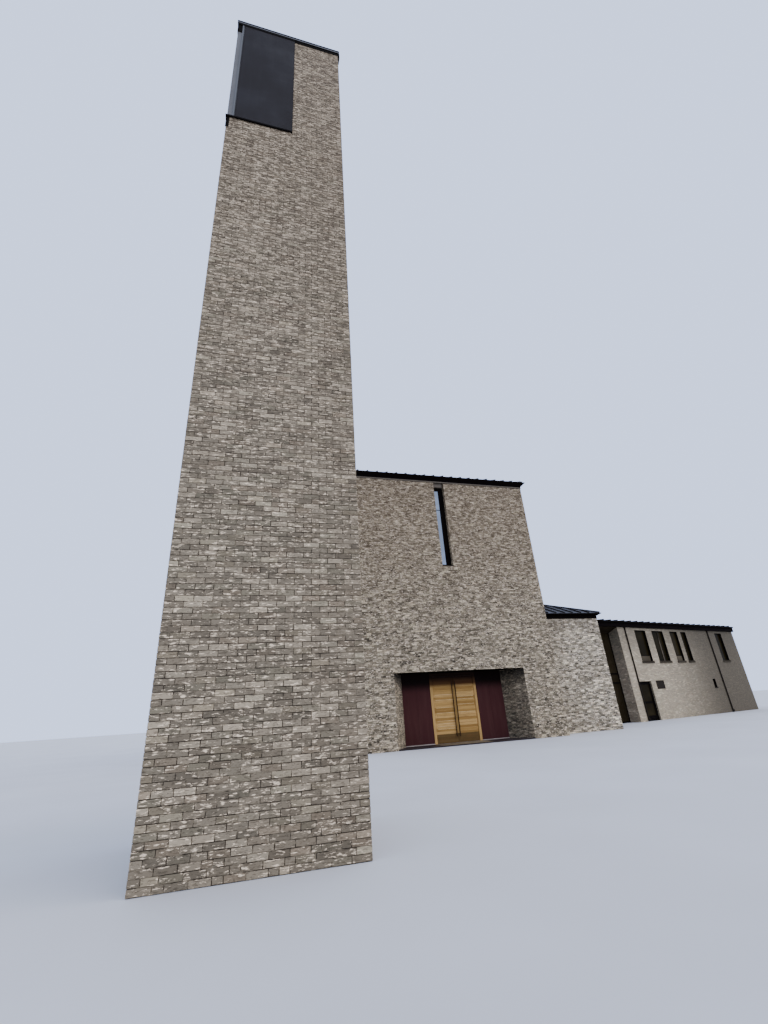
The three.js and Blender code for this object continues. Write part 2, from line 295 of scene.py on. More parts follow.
@dataclass(frozen=True)
class BrickFinish:
    """Stock bricks, each with its own tone, with lime and soot dragged over them in short dashes."""

    FIRED = ((0.0, 0.56), (0.1, 0.7), (0.3, 0.86), (0.66, 1.02), (0.86, 1.4), (1.0, 2.1))
    HUES = (
        (0.0, shade(255, 240, 230)), (0.12, shade(252, 247, 244)), (0.7, shade(250, 250, 250)),
        (0.86, shade(240, 248, 241)), (1.0, shade(250, 244, 230)),
    )
    HUE_TURNS = 41.0
    HUE_SHARE = 0.45
    CLIMB = (2.0, 15.0)
    FALLING = (1.0, 0.0)

    # Where each noise starts and stops to show as soot or as lime.
    SOOT_CLOUD, LIME_CLOUD = (0.4, 0.5), (0.53, 0.62)
    SOOT_DASH, LIME_STREAK = (0.39, 0.48), (0.57, 0.66)
    SOOT_SPOT, LIME_DOT = (0.36, 0.41), (0.6, 0.68)

    RAISED_LIME = 0.2
    DEPTH = 0.003
    ROUGHNESS = (0.95, 0.8)
    GLOSS = 0.2

    lift: float = 0.95
    spread: float = 1.0
    dashes: float = 0.6
    clump: float = 9.0
    middle: Colour = shade(146, 131, 105)
    lime: Colour = shade(255, 229, 190)
    soot: Colour = shade(58, 49, 38)
    washes: tuple[Wash, ...] = ()
    patches: Pair = (0.2, 0.4)
    fineness: float = 1.0
    rise: float = 1.0
    strokes: float = 0.9

    def tones(self) -> Stops:
        """Gives the fired tones, from the darkest brick to the palest."""
        shares = ((place, self.lift * (1.0 + (share - 1.0) * self.spread)) for place, share in self.FIRED)
        return tuple((place, tuple(value * share for value in self.middle)) for place, share in shares)

    def make(self, paint: Paint) -> Material:
        """Makes the material.

        Args:
            paint: The material under construction.

        Returns:
            The brick material.
        """
        tone = paint.tone()
        hue = paint.ramp(paint.sum("FRACT", paint.sum("MULTIPLY", tone, self.HUE_TURNS)), self.HUES)
        colour = paint.blend(self.HUE_SHARE, paint.ramp(tone, self.tones()), hue, "MULTIPLY")
        height = paint.reach("Z")
        force = paint.between(height, *self.CLIMB, self.patches)
        drag = paint.between(height, *self.CLIMB, (self.dashes, self.dashes * self.rise))
        cloud = paint.noise(self.clump, 4.0, 0.62, (0.5, 0.5, 1.3))
        dark = paint.noise(38.0 * self.fineness, 4.0, 0.6, (0.33, 0.33, 1.1))
        pale = paint.noise(36.0 * self.fineness, 4.0, 0.62, (0.26, 0.26, 1.1))
        speck = paint.noise(14.0 * self.fineness, 4.0, 0.62, (0.5, 0.5, 1.4))
        streak = paint.between(pale, *self.LIME_STREAK, (0.0, self.strokes))
        dot = paint.between(speck, *self.LIME_DOT, (0.0, self.strokes))
        for share, strength, cover in (
            (paint.between(cloud, *self.SOOT_CLOUD, self.FALLING), force, self.soot),
            (paint.between(cloud, *self.LIME_CLOUD), force, self.lime),
            (paint.between(dark, *self.SOOT_DASH, self.FALLING), drag, self.soot),
            (paint.between(speck, *self.SOOT_SPOT, self.FALLING), drag, self.soot),
            (paint.sum("MAXIMUM", streak, dot), 1.0, self.lime),
        ):
            colour = paint.blend(paint.sum("MULTIPLY", share, strength), colour, cover)
        for wash in self.washes:
            colour = wash.over(paint, colour)
        raised = paint.sum("MULTIPLY", streak, self.RAISED_LIME)
        paint.relief(paint.sum("ADD", dark, raised), self.DEPTH)
        return paint.finish(colour, paint.between(dark, *MOST_NOISE, self.ROUGHNESS), self.GLOSS)


@dataclass(frozen=True)
class MortarFinish:
    """The mortar between the bricks, in places washed out, and the plain plaster inside the walls."""

    SAND = ((0.3, shade(150, 146, 140)), (0.7, shade(245, 243, 238)))

    light: Colour
    dark: Colour

    def make(self, paint: Paint) -> Material:
        """Makes the material.

        Args:
            paint: The material under construction.

        Returns:
            The mortar material.
        """
        patch = paint.noise(13.0, 5.0, 0.66, (0.45, 0.45, 1.6))
        base = paint.ramp(patch, ((0.48, self.dark), (0.6, self.light)))
        sanded = paint.blend(0.3, base, paint.ramp(paint.noise(160.0, 2.0, 0.6), self.SAND), "MULTIPLY")
        paint.relief(patch, 0.004)
        return paint.finish(sanded, 0.93, 0.2)


@dataclass(frozen=True)
class SheetFinish:
    """Coated or bare sheet metal with faint dents, rain streaks and dust."""

    colour: Colour
    dust: Colour
    roughness: float
    gloss: float
    streaks: float = 0.35
    dents: float = 0.003

    def make(self, paint: Paint) -> Material:
        """Makes the material.

        Args:
            paint: The material under construction.

        Returns:
            The sheet material.
        """
        run = paint.noise(7.0, 5.0, 0.6, (1.0, 1.0, 0.08))
        cloud = paint.noise(1.1, 4.0, 0.55)
        worn = paint.blend(paint.between(run, 0.45, 0.75, (0.0, self.streaks)), self.colour, self.dust)
        base = paint.blend(paint.between(cloud, 0.4, 0.75, (0.0, self.streaks)), worn, self.dust)
        grit = paint.sum("MULTIPLY", paint.noise(240.0, 2.0, 0.5), 0.02)
        paint.relief(paint.sum("ADD", paint.noise(0.9, 1.0, 0.3), grit), self.dents)
        rough = paint.between(cloud, *MOST_NOISE, (self.roughness - 0.07, self.roughness + 0.1))
        return paint.finish(base, rough, self.gloss)


@dataclass(frozen=True)
class DarkTopPanelFinish:
    """Painted board, darker towards its top; the wash by default is painted shade under the porch ceiling.
    """

    colour: Colour
    dust: Colour
    # Painted shade, near black under the porch ceiling.
    wash: Wash = Wash("Z", 2.2, 2.72, shade(8, 4, 2), 0.94)

    def make(self, paint: Paint) -> Material:
        """Makes the material.

        Args:
            paint: The material under construction.

        Returns:
            The panel material.
        """
        run = paint.noise(5.0, 5.0, 0.6, (1.0, 1.0, 0.12))
        base = paint.blend(paint.between(run, 0.42, 0.7, (0.0, 0.6)), self.colour, self.dust)
        paint.relief(paint.noise(60.0, 3.0, 0.6, (1.0, 1.0, 0.1)), 0.0006)
        return paint.finish(self.wash.over(paint, base), paint.between(run, *MOST_NOISE, (0.5, 0.68)), 0.04)


@dataclass(frozen=True)
class Levels:
    """Sets level boards apart by their tone, on the boards and on the plain leaf edge beside them."""

    seed: float
    start: float = 0.438
    pitch: float = 0.113
    tones: Pair = (0.34, 0.84)
    kick: float = 0.13

    def tone(self, paint: Paint) -> Socket:
        """Gives every board a tone by its height, with a dark kick board below.

        Args:
            paint: The material under construction.

        Returns:
            The tone from 0 to 1.
        """
        height = paint.reach("Z")
        row = paint.sum("FLOOR", paint.sum("DIVIDE", paint.sum("SUBTRACT", height, self.start), self.pitch))
        place = {"W": paint.sum("ADD", row, self.seed)}
        chance = paint.node("ShaderNodeTexWhiteNoise", "Value", place, noise_dimensions="1D")
        above = paint.sum("GREATER_THAN", height, self.start)
        board = paint.between(chance, 0.0, 1.0, self.tones)
        return paint.sum("MULTIPLY", board, paint.between(above, 0.0, 1.0, (self.kick, 1.0)))


@dataclass(frozen=True)
class OakFinish:
    """Oiled oak with the grain along X or upright, darker at the head as the panels are: painted shade under
    the porch ceiling, over a head board partly darker in its own tone.
    """

    TONES = (
        (0.0, shade(84, 64, 34)), (0.12, shade(100, 78, 44)), (0.3, shade(146, 108, 54)),
        (0.6, shade(180, 139, 76)), (0.85, shade(202, 160, 96)), (1.0, shade(236, 204, 148)),
    )
    GRAIN = shade(118, 80, 44)
    # A darker brown head board, partly its own tone and partly painted shade, then near-black painted shade
    # right under the porch ceiling.
    HEAD_TONE_AND_SHADE = (Wash("Z", 2.4, 2.62, shade(62, 32, 11), 0.93), Wash("Z", 2.56, 2.94, shade(20, 8, 5), 0.93))

    even: float | None = None
    upright: bool = False
    levels: Levels | None = None

    def tone(self, paint: Paint) -> Any:
        """Gives the tone: board by board, even, or each face's own.

        Args:
            paint: The material under construction.

        Returns:
            The tone from 0 to 1, a socket or a number.
        """
        if self.levels:
            return self.levels.tone(paint)
        return paint.tone() if self.even is None else self.even

    def make(self, paint: Paint) -> Material:
        """Makes the material.

        Args:
            paint: The material under construction.

        Returns:
            The oak material.
        """
        along, across = (1.0, 0.06) if self.upright else (0.06, 1.0)
        fibre = paint.noise(46.0, 5.0, 0.65, (along, 1.0, across))
        figure = paint.noise(7.0, 3.0, 0.5, (along + 0.1, 1.0, across + 0.1))
        colour = paint.ramp(self.tone(paint), self.TONES)
        for pattern, low, high, most in ((fibre, 0.46, 0.68, 0.42), (figure, 0.5, 0.72, 0.3)):
            colour = paint.blend(paint.between(pattern, low, high, (0.0, most)), colour, self.GRAIN)
        for head_wash in self.HEAD_TONE_AND_SHADE:
            colour = head_wash.over(paint, colour)
        paint.relief(fibre, 0.0012)
        return paint.finish(colour, paint.between(fibre, *MOST_NOISE, (0.45, 0.65)), 0.06)


@dataclass(frozen=True)
class GlassFinish:
    """Window glass as it looks by day from outside: dark, with a clear gloss and faint dust."""

    colour: Colour
    haze: Colour
    roughness: float
    metallic: float = 0.0

    def make(self, paint: Paint) -> Material:
        """Makes the material.

        Args:
            paint: The material under construction.

        Returns:
            The glass material.
        """
        film = paint.noise(14.0, 5.0, 0.7, (1.0, 1.0, 0.3))
        depth = paint.between(paint.noise(0.8, 3.0, 0.5), 0.42, 0.7, (0.0, 0.7))
        paint.relief(paint.noise(0.7, 0.0, 0.0), 0.002)
        rough = paint.between(film, 0.4, 0.8, (self.roughness, self.roughness + 0.12))
        return paint.finish(paint.blend(depth, self.colour, self.haze), rough, 0.015, self.metallic)


@dataclass(frozen=True)
class StoneFinish:
    """Floated concrete and honed stone."""

    light: Colour
    dark: Colour
    roughness: Pair = (0.62, 0.88)
    gloss: float = 0.4

    def make(self, paint: Paint) -> Material:
        """Makes the material.

        Args:
            paint: The material under construction.

        Returns:
            The stone material.
        """
        cloud = paint.noise(1.6, 7.0, 0.65)
        speck = paint.grains(120.0)
        base = paint.ramp(cloud, ((0.3, self.dark), (0.72, self.light)))
        specked = paint.blend(paint.between(speck, 0.02, 0.2, (0.35, 0.0)), base, self.dark)
        paint.relief(paint.sum("ADD", cloud, paint.sum("MULTIPLY", speck, 0.3)), 0.002)
        return paint.finish(specked, paint.between(cloud, *MOST_NOISE, self.roughness), self.gloss)


# The tower's brick grows darker and warmer towards the top, and darker towards its right edge.
TOWER_TONE_WASHES = (
    Wash("Z", 3.5, 14.0, shade(108, 86, 58), 0.26), Wash("X", -9.7, -8.0, shade(88, 72, 54), 0.16))
# The nave's brick grows darker and warmer towards the top.
NAVE_TONE_WASH = (Wash("Z", 2.5, 12.0, shade(104, 82, 56), 0.36),)
# Painted shade on the annex's brick just under the eaves, and the brick darker towards the nave.
ANNEX_EAVES_SHADE_WASHES = (
    Wash("Z", 4.5, 5.7, shade(104, 90, 72), 0.34), Wash("X", 7.6, 5.2, shade(112, 96, 74), 0.22))
# Painted shade on the porch cheeks, near black up under the porch ceiling.
PORCH_CEILING_SHADE = (Wash("Z", 2.3, 3.08, shade(16, 14, 11), 0.9),)
# Painted shade on the wing's front and right gable: darker towards the eaves and towards the far end.
WING_PAINTED_SHADE = (
    Wash("Z", 3.5, 5.4, shade(64, 58, 48), 0.5), Wash("X", 16.4, 24.0, shade(75, 67, 53), 0.9))
# Painted shade on the short left gable, darker towards its top.
PAINTED_GABLE_SHADE = (Wash("Z", 2.6, 5.4, shade(70, 70, 56), 0.6),)
WING_CLAY = (shade(153, 139, 114), shade(206, 195, 172), shade(112, 101, 82))
FAINT = (0.1, 0.2)


@unique
class Finish(Enum):
    """Every finish of the building. A material has the name of its member, in small letters."""

    TOWER_BRICK = BrickFinish(
        0.8, 0.9, 0.45, 13.0, shade(146, 132, 108), washes=TOWER_TONE_WASHES, patches=(0.0, 0.5), fineness=1.3,
        rise=2.2)
    NAVE_BRICK = BrickFinish(
        0.78, 1.9, 0.26, 9.0, shade(146, 132, 106), shade(255, 231, 196), washes=NAVE_TONE_WASH,
        fineness=0.85, rise=2.8, strokes=1.0)
    ANNEX_BRICK = BrickFinish(
        1.28, 1.9, 0.4, 6.0, shade(145, 133, 110), shade(253, 234, 204), washes=ANNEX_EAVES_SHADE_WASHES,
        patches=(0.3, 0.4), fineness=0.74, strokes=1.0)
    # The left cheek of the porch; the right cheek is a darker copy of it, painted shade for the side turned
    # from the light.
    PORCH_BRICK = BrickFinish(0.85, 1.2, 0.5, washes=PORCH_CEILING_SHADE, strokes=0.7)
    SHADED_BRICK = BrickFinish(0.42, 1.4, 0.26, washes=PORCH_CEILING_SHADE, strokes=0.26)
    WING_BRICK = BrickFinish(1.45, 0.45, 0.3, 3.0, *WING_CLAY, (), FAINT, strokes=0.4)
    WING_FRONT_BRICK = BrickFinish(1.43, 0.45, 0.3, 3.0, *WING_CLAY, WING_PAINTED_SHADE, FAINT, strokes=0.4)
    # The short left gable: a darker copy of the wing's brick, painted shade for the side turned from the
    # light.
    GABLE_BRICK = BrickFinish(
        1.4, 0.7, 0.4, 3.0, shade(140, 127, 108), shade(150, 142, 124), shade(80, 74, 58), PAINTED_GABLE_SHADE,
        FAINT, strokes=0.5)
    MORTAR = MortarFinish(shade(146, 132, 108), shade(58, 49, 38))
    NAVE_MORTAR = MortarFinish(shade(146, 132, 108), shade(92, 80, 62))
    WING_MORTAR = MortarFinish(shade(162, 149, 124), shade(116, 105, 86))

    SILL_STONE = StoneFinish(shade(86, 77, 62), shade(64, 56, 44), gloss=0.05)
    CONCRETE = StoneFinish(shade(150, 145, 136), shade(108, 103, 95))
    THRESHOLD_STONE = StoneFinish(shade(176, 162, 146), shade(150, 137, 123))
    PORCH_STONE = StoneFinish(shade(52, 41, 38), shade(34, 26, 24), (0.4, 0.6), 0.2)
    PORCH_MAT = StoneFinish(shade(146, 128, 98), shade(112, 97, 73), (0.8, 0.95), 0.1)

    DARK_COATED_SHEET = SheetFinish(shade(34, 30, 29), shade(42, 39, 38), 0.6, 0.05)
    BLACK_TRIM = SheetFinish(shade(15, 11, 9), shade(23, 20, 18), 0.6, 0.01, 0.25, 0.001)
    ROOF_SHEET = SheetFinish(shade(27, 25, 27), shade(58, 56, 60), 0.55, 0.2)
    EAVES_SHEET = SheetFinish(shade(15, 10, 9), shade(22, 18, 17), 0.6, 0.005, 0.3, 0.002)
    PALE_SHEET = SheetFinish(shade(82, 81, 79), shade(98, 98, 96), 0.5, 0.12, 0.5, 0.002)
    STRIP_SHEET = SheetFinish(shade(88, 85, 81), shade(108, 106, 102), 0.5, 0.12, 0.7, 0.002)
    TAUPE_SHEET = SheetFinish(shade(96, 86, 73), shade(112, 102, 88), 0.7, 0.06, 0.5, 0.002)
    SOFFIT_SHEET = SheetFinish(shade(11, 7, 3), shade(16, 11, 7), 0.7, 0.01, 0.25, 0.001)
    PIPE_SHEET = SheetFinish(shade(34, 28, 22), shade(44, 38, 30), 0.6, 0.03, 0.4, 0.001)
    PLAQUE_SHEET = SheetFinish(shade(35, 28, 19), shade(45, 38, 28), 0.5, 0.03, 0.4, 0.001)
    PULL_BRONZE = SheetFinish(shade(46, 28, 13), shade(66, 43, 22), 0.5, 0.08, 0.5, 0.001)
    MULLION_SHEET = DarkTopPanelFinish(
        shade(98, 86, 70), shade(112, 100, 84), Wash("Z", 4.7, 5.3, shade(24, 20, 13), 0.95))
    # The maroon panels take the default wash: painted shade under the porch ceiling.
    MAROON_PANEL = DarkTopPanelFinish(shade(67, 36, 34), shade(75, 46, 42))

    OAK_EDGES = OakFinish()
    OAK_BOARDS_LEFT = OakFinish(levels=Levels(-0.3))
    OAK_BOARDS_RIGHT = OakFinish(levels=Levels(0.3))
    OAK_POSTS = OakFinish(0.8, True)

    WINDOW_GLASS = GlassFinish(shade(28, 22, 7), shade(46, 38, 20), 0.2)
    HAZED_GLASS = GlassFinish(shade(72, 63, 48), shade(92, 82, 64), 0.3)
    SCREEN_GLASS = GlassFinish(shade(38, 31, 19), shade(52, 44, 30), 0.25)
    COATED_GLASS = GlassFinish(shade(92, 101, 114), shade(122, 133, 152), 0.12, 1.0)

    @cache
    def material(self) -> Material:
        """Gives the material, which is made when it is first asked for."""
        return self.value.make(Paint(self.name.lower()))


@dataclass(frozen=True)
class Setting:
    """Where a sub-assembly's own plan axes lie in the building."""

    x: float = 0.0
    y: float = 0.0
    turn: float = 0.0

    def world(self, points: np.ndarray) -> np.ndarray:
        """Moves points from the sub-assembly's axes to the building's.

        Args:
            points: Rows of x, y and z.

        Returns:
            The moved rows.
        """
        angle = math.radians(self.turn)
        cos, sin = math.cos(angle), math.sin(angle)
        turned = np.array(points, float)
        turned[:, 0] = self.x + cos * points[:, 0] - sin * points[:, 1]
        turned[:, 1] = self.y + sin * points[:, 0] + cos * points[:, 1]
        return turned


CHURCH = Setting()
WING_SETTING = Setting(13.801, 3.867, 13.93)


def settle(
    name: str, mesh: Mesh, finish: Finish, body: Body = Body.BUILDING,
    replaces: Sequence[str] = (), bevel: float = 0.0,
) -> Piece:
    """Makes a piece of a mesh, puts it on its body, and reports it.

    Args:
        name: Name of the piece.
        mesh: Its mesh.
        finish: Its finish.
        body: The body that it moves with.
        replaces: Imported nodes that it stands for.
        bevel: Width of its worn edges.

    Returns:
        The new piece.
    """
    mesh.materials.append(finish.material())
    made = bpy.data.objects.new(name, mesh)
    bpy.context.scene.collection.objects.link(made)
    if bevel:
        edge = made.modifiers.new("worn_edges", "BEVEL")
        edge.width = bevel
        edge.segments = 2
        edge.limit_method = "ANGLE"
    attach(made, body.value)
    if replaces:
        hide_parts(*replaces)
    log.info("%s: %d faces on %s", name, len(mesh.polygons), body.value)
    return made


def dress(finish: Finish, *names: str) -> None:
    """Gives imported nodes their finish.

    Args:
        finish: The finish.
        *names: Names of the nodes.
    """
    for name in names:
        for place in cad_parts[name].material_slots:
            place.material = finish.material()
        log.info("%s: dressed with %s", name, finish.name)


def new_mesh(name: str, points: np.ndarray, faces: Sequence[Sequence[int]], tones: np.ndarray) -> Mesh:
    """Makes a mesh whose faces each have their own tone.

    Args:
        name: Name of the mesh.
        points: Rows of x, y and z in the building.
        faces: Its faces, as places in points.
        tones: A tone from 0 to 1 for every face.

    Returns:
        The new mesh.
    """
    mesh = bpy.data.meshes.new(name)
    mesh.from_pydata(points.tolist(), [], faces)
    mesh.attributes.new(TONE, "FLOAT", "FACE").data.foreach_set("value", tones.astype(np.float32))
    return mesh


class Work:
    """The faces of one piece, before they become a mesh."""

    BOX_FACES = ((0, 3, 2, 1), (4, 5, 6, 7), (0, 1, 5, 4), (1, 2, 6, 5), (2, 3, 7, 6), (3, 0, 4, 7))

    def __init__(self, setting: Setting = CHURCH) -> None:
        """Starts an empty piece.

        Args:
            setting: The plan axes that its points are given in.
        """
        self.setting = setting
        self.points: list[np.ndarray] = []
        self.faces: list[Sequence[int]] = []
        self.tones: list[float] = []
        self.count = 0

    def add(self, points: Iterable[Sequence[float]], faces: Sequence[Sequence[int]], tone: float) -> None:
        """Adds a closed solid.

        Args:
            points: Its corners.
            faces: Its faces, as places in points.
            tone: Its own tone from 0 to 1.
        """
        corners = np.array([tuple(p) for p in points], float)
        self.faces += [tuple(self.count + i for i in face) for face in faces]
        self.tones += [tone] * len(faces)
        self.points.append(corners)
        self.count += len(corners)

    def block(self, x: Pair, y: Pair, z: Pair, tone: float = MIDDLE_TONE) -> None:
        """Adds an upright block.

        Args:
            x: Where it starts and ends along x.
            y: Where it starts and ends along y.
            z: Where it starts and ends upwards.
            tone: Its own tone from 0 to 1.
        """
        ring = ((x[0], y[0]), (x[1], y[0]), (x[1], y[1]), (x[0], y[1]))
        self.add([(*corner, level) for level in z for corner in ring], self.BOX_FACES, tone)

    def rim(self, x: Pair, y: Pair, z: Pair, bar: float, foot: bool = True, head: bool = True) -> Pair:
        """Adds two uprights, with level bars between them.

        Args:
            x: Where the rim starts and ends along x.
            y: Where it starts and ends along y.
            z: Where it starts and ends upwards.
            bar: How wide its bars look.
            foot: Whether it has a bar below.
            head: Whether it has a bar above.

        Returns:
            The range between the uprights.
        """
        inner = (x[0] + bar, x[1] - bar)
        self.block((x[0], inner[0]), y, z)
        self.block((inner[1], x[1]), y, z)
        if foot:
            self.block(inner, y, (z[0], z[0] + bar))
        if head:
            self.block(inner, y, (z[1] - bar, z[1]))
        return inner

    def hoop(self, outer: tuple[Pair, Pair], inner: tuple[Pair, Pair], z: Pair) -> None:
        """Adds a level band round a rectangle.

        Args:
            outer: The band's outside, along x and y.
            inner: Its inside, along x and y.
            z: Its lower and upper edge.
        """
        (x0, x1), (y0, y1) = outer
        (left, right), (front, back) = inner
        for x, y in (((x0, x1), (y0, front)), ((x0, x1), (back, y1)),
                     ((x0, left), (front, back)), ((right, x1), (front, back))):
            self.block(x, y, z)

    def bar(
        self, start: Sequence[float], end: Sequence[float], width: float, height: float,
        up: Sequence[float] = (0.0, 0.0, 1.0),
    ) -> None:
        """Adds a straight bar that stands on the line from start to end.

        Args:
            start: Middle of the bar's foot at one end.
            end: Middle of its foot at the other end.
            width: Size across the line.
            height: Size away from the line, towards up.
            up: The way that the bar stands up.
        """
        first, last = Vector(start), Vector(end)
        along = (last - first).normalized()
        side = along.cross(Vector(up)).normalized()
        rise = side.cross(along) * height
        half = side * (width / 2.0)
        ring = (half * -1.0, half, half + rise, rise - half)
        self.add([foot + corner for foot in (first, last) for corner in ring], self.BOX_FACES, MIDDLE_TONE)

    def tube(self, path: Sequence[Sequence[float]], radius: float, sides: int) -> None:
        """Adds a round tube with closed ends along an upright path.

        Args:
            path: The points that its middle passes.
            radius: Its outer radius.
            sides: Number of flat sides.
        """
        line = [Vector(p) for p in path]
        points = []
        for i, here in enumerate(line):
            along = (line[min(i + 1, len(line) - 1)] - line[max(i - 1, 0)]).normalized()
            side = along.cross(Vector((1.0, 0.0, 0.0))).normalized()
            other = along.cross(side)
            for k in range(sides):
                angle = math.tau * k / sides
                points.append(here + (side * math.cos(angle) + other * math.sin(angle)) * radius)
        ends = (range(sides - 1, -1, -1), range(len(points) - sides, len(points)))
        faces = [
            (i + k, i + (k + 1) % sides, i + sides + (k + 1) % sides, i + sides + k)
            for i in range(0, len(points) - sides, sides) for k in range(sides)
        ]
        self.add(points, faces + [tuple(end) for end in ends], MIDDLE_TONE)

    def piece(
        self, name: str, finish: Finish, slot: Slot, body: Body = Body.BUILDING,
        replaces: Sequence[str] = (), bevel: float = 0.0,
    ) -> Piece:
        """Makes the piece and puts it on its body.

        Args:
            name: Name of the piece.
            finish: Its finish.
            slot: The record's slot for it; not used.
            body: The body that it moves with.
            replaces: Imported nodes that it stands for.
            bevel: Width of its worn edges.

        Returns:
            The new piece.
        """
        places = self.setting.world(np.concatenate(self.points))
        mesh = new_mesh(name, places, self.faces, np.array(self.tones))
        shell = bmesh.new()
        shell.from_mesh(mesh)
        bmesh.ops.recalc_face_normals(shell, faces=shell.faces)
        shell.to_mesh(mesh)
        shell.free()
        mesh.shade_smooth()
        mesh.set_sharp_from_angle(angle=SMOOTH_ANGLE)
        return settle(name, mesh, finish, body, replaces, bevel)


def walk(x: Pair, y: Pair) -> tuple[Four, Four, Four, Four]:
    """Walks round a level rectangle by its front, right, back and left, with its inside on the left.

    Args:
        x: Where it starts and ends along x.
        y: Where it starts and ends along y.

    Returns:
        Where each side starts, along x and y, its heading in degrees, and its length.
    """
    wide, deep = x[1] - x[0], y[1] - y[0]
    front, right = (x[0], y[0], 0.0, wide), (x[1], y[0], 90.0, deep)
    return front, right, (x[1], y[1], 180.0, wide), (x[0], y[1], 270.0, deep)


@dataclass(frozen=True)
class Hole:
    """A part of a wall face that carries no bricks, along it and up."""

    start: float
    end: float
    low: float
    high: float


@dataclass(frozen=True)
class Facing:
    """One outer face of a wall. Walking along it, the outside is on the right."""

    LAP = 0.005
    LAPPED = (LAP, LAP)
    BARE = (0.0, 0.0)

    x: float
    y: float
    heading: float
    length: float
    top: float
    seed: int
    holes: tuple[Hole, ...] = ()
    laps: Pair = BARE
    header_first: bool = False

    def rooms(self, front: Four) -> list[Four]:
        """Cuts a brick's front where the face has holes.

        Args:
            front: Where it starts and ends along the face, and its lower and upper edge.

        Returns:
            The parts that remain, in the same order of numbers.
        """
        parts = [front]
        for hole in self.holes:
            kept: list[Four] = []
            for start, end, low, high in parts:
                if start >= hole.end or end <= hole.start or low >= hole.high or high <= hole.low:
                    kept.append((start, end, low, high))
                    continue
                middle = (max(start, hole.start), min(end, hole.end))
                kept += [(start, hole.start, low, high), (hole.end, end, low, high)]
                kept += [(*middle, low, hole.low), (*middle, hole.high, high)]
            parts = [p for p in kept if p[1] - p[0] > Bond.LEAST and p[3] - p[2] > Bond.LEAST]
        return parts


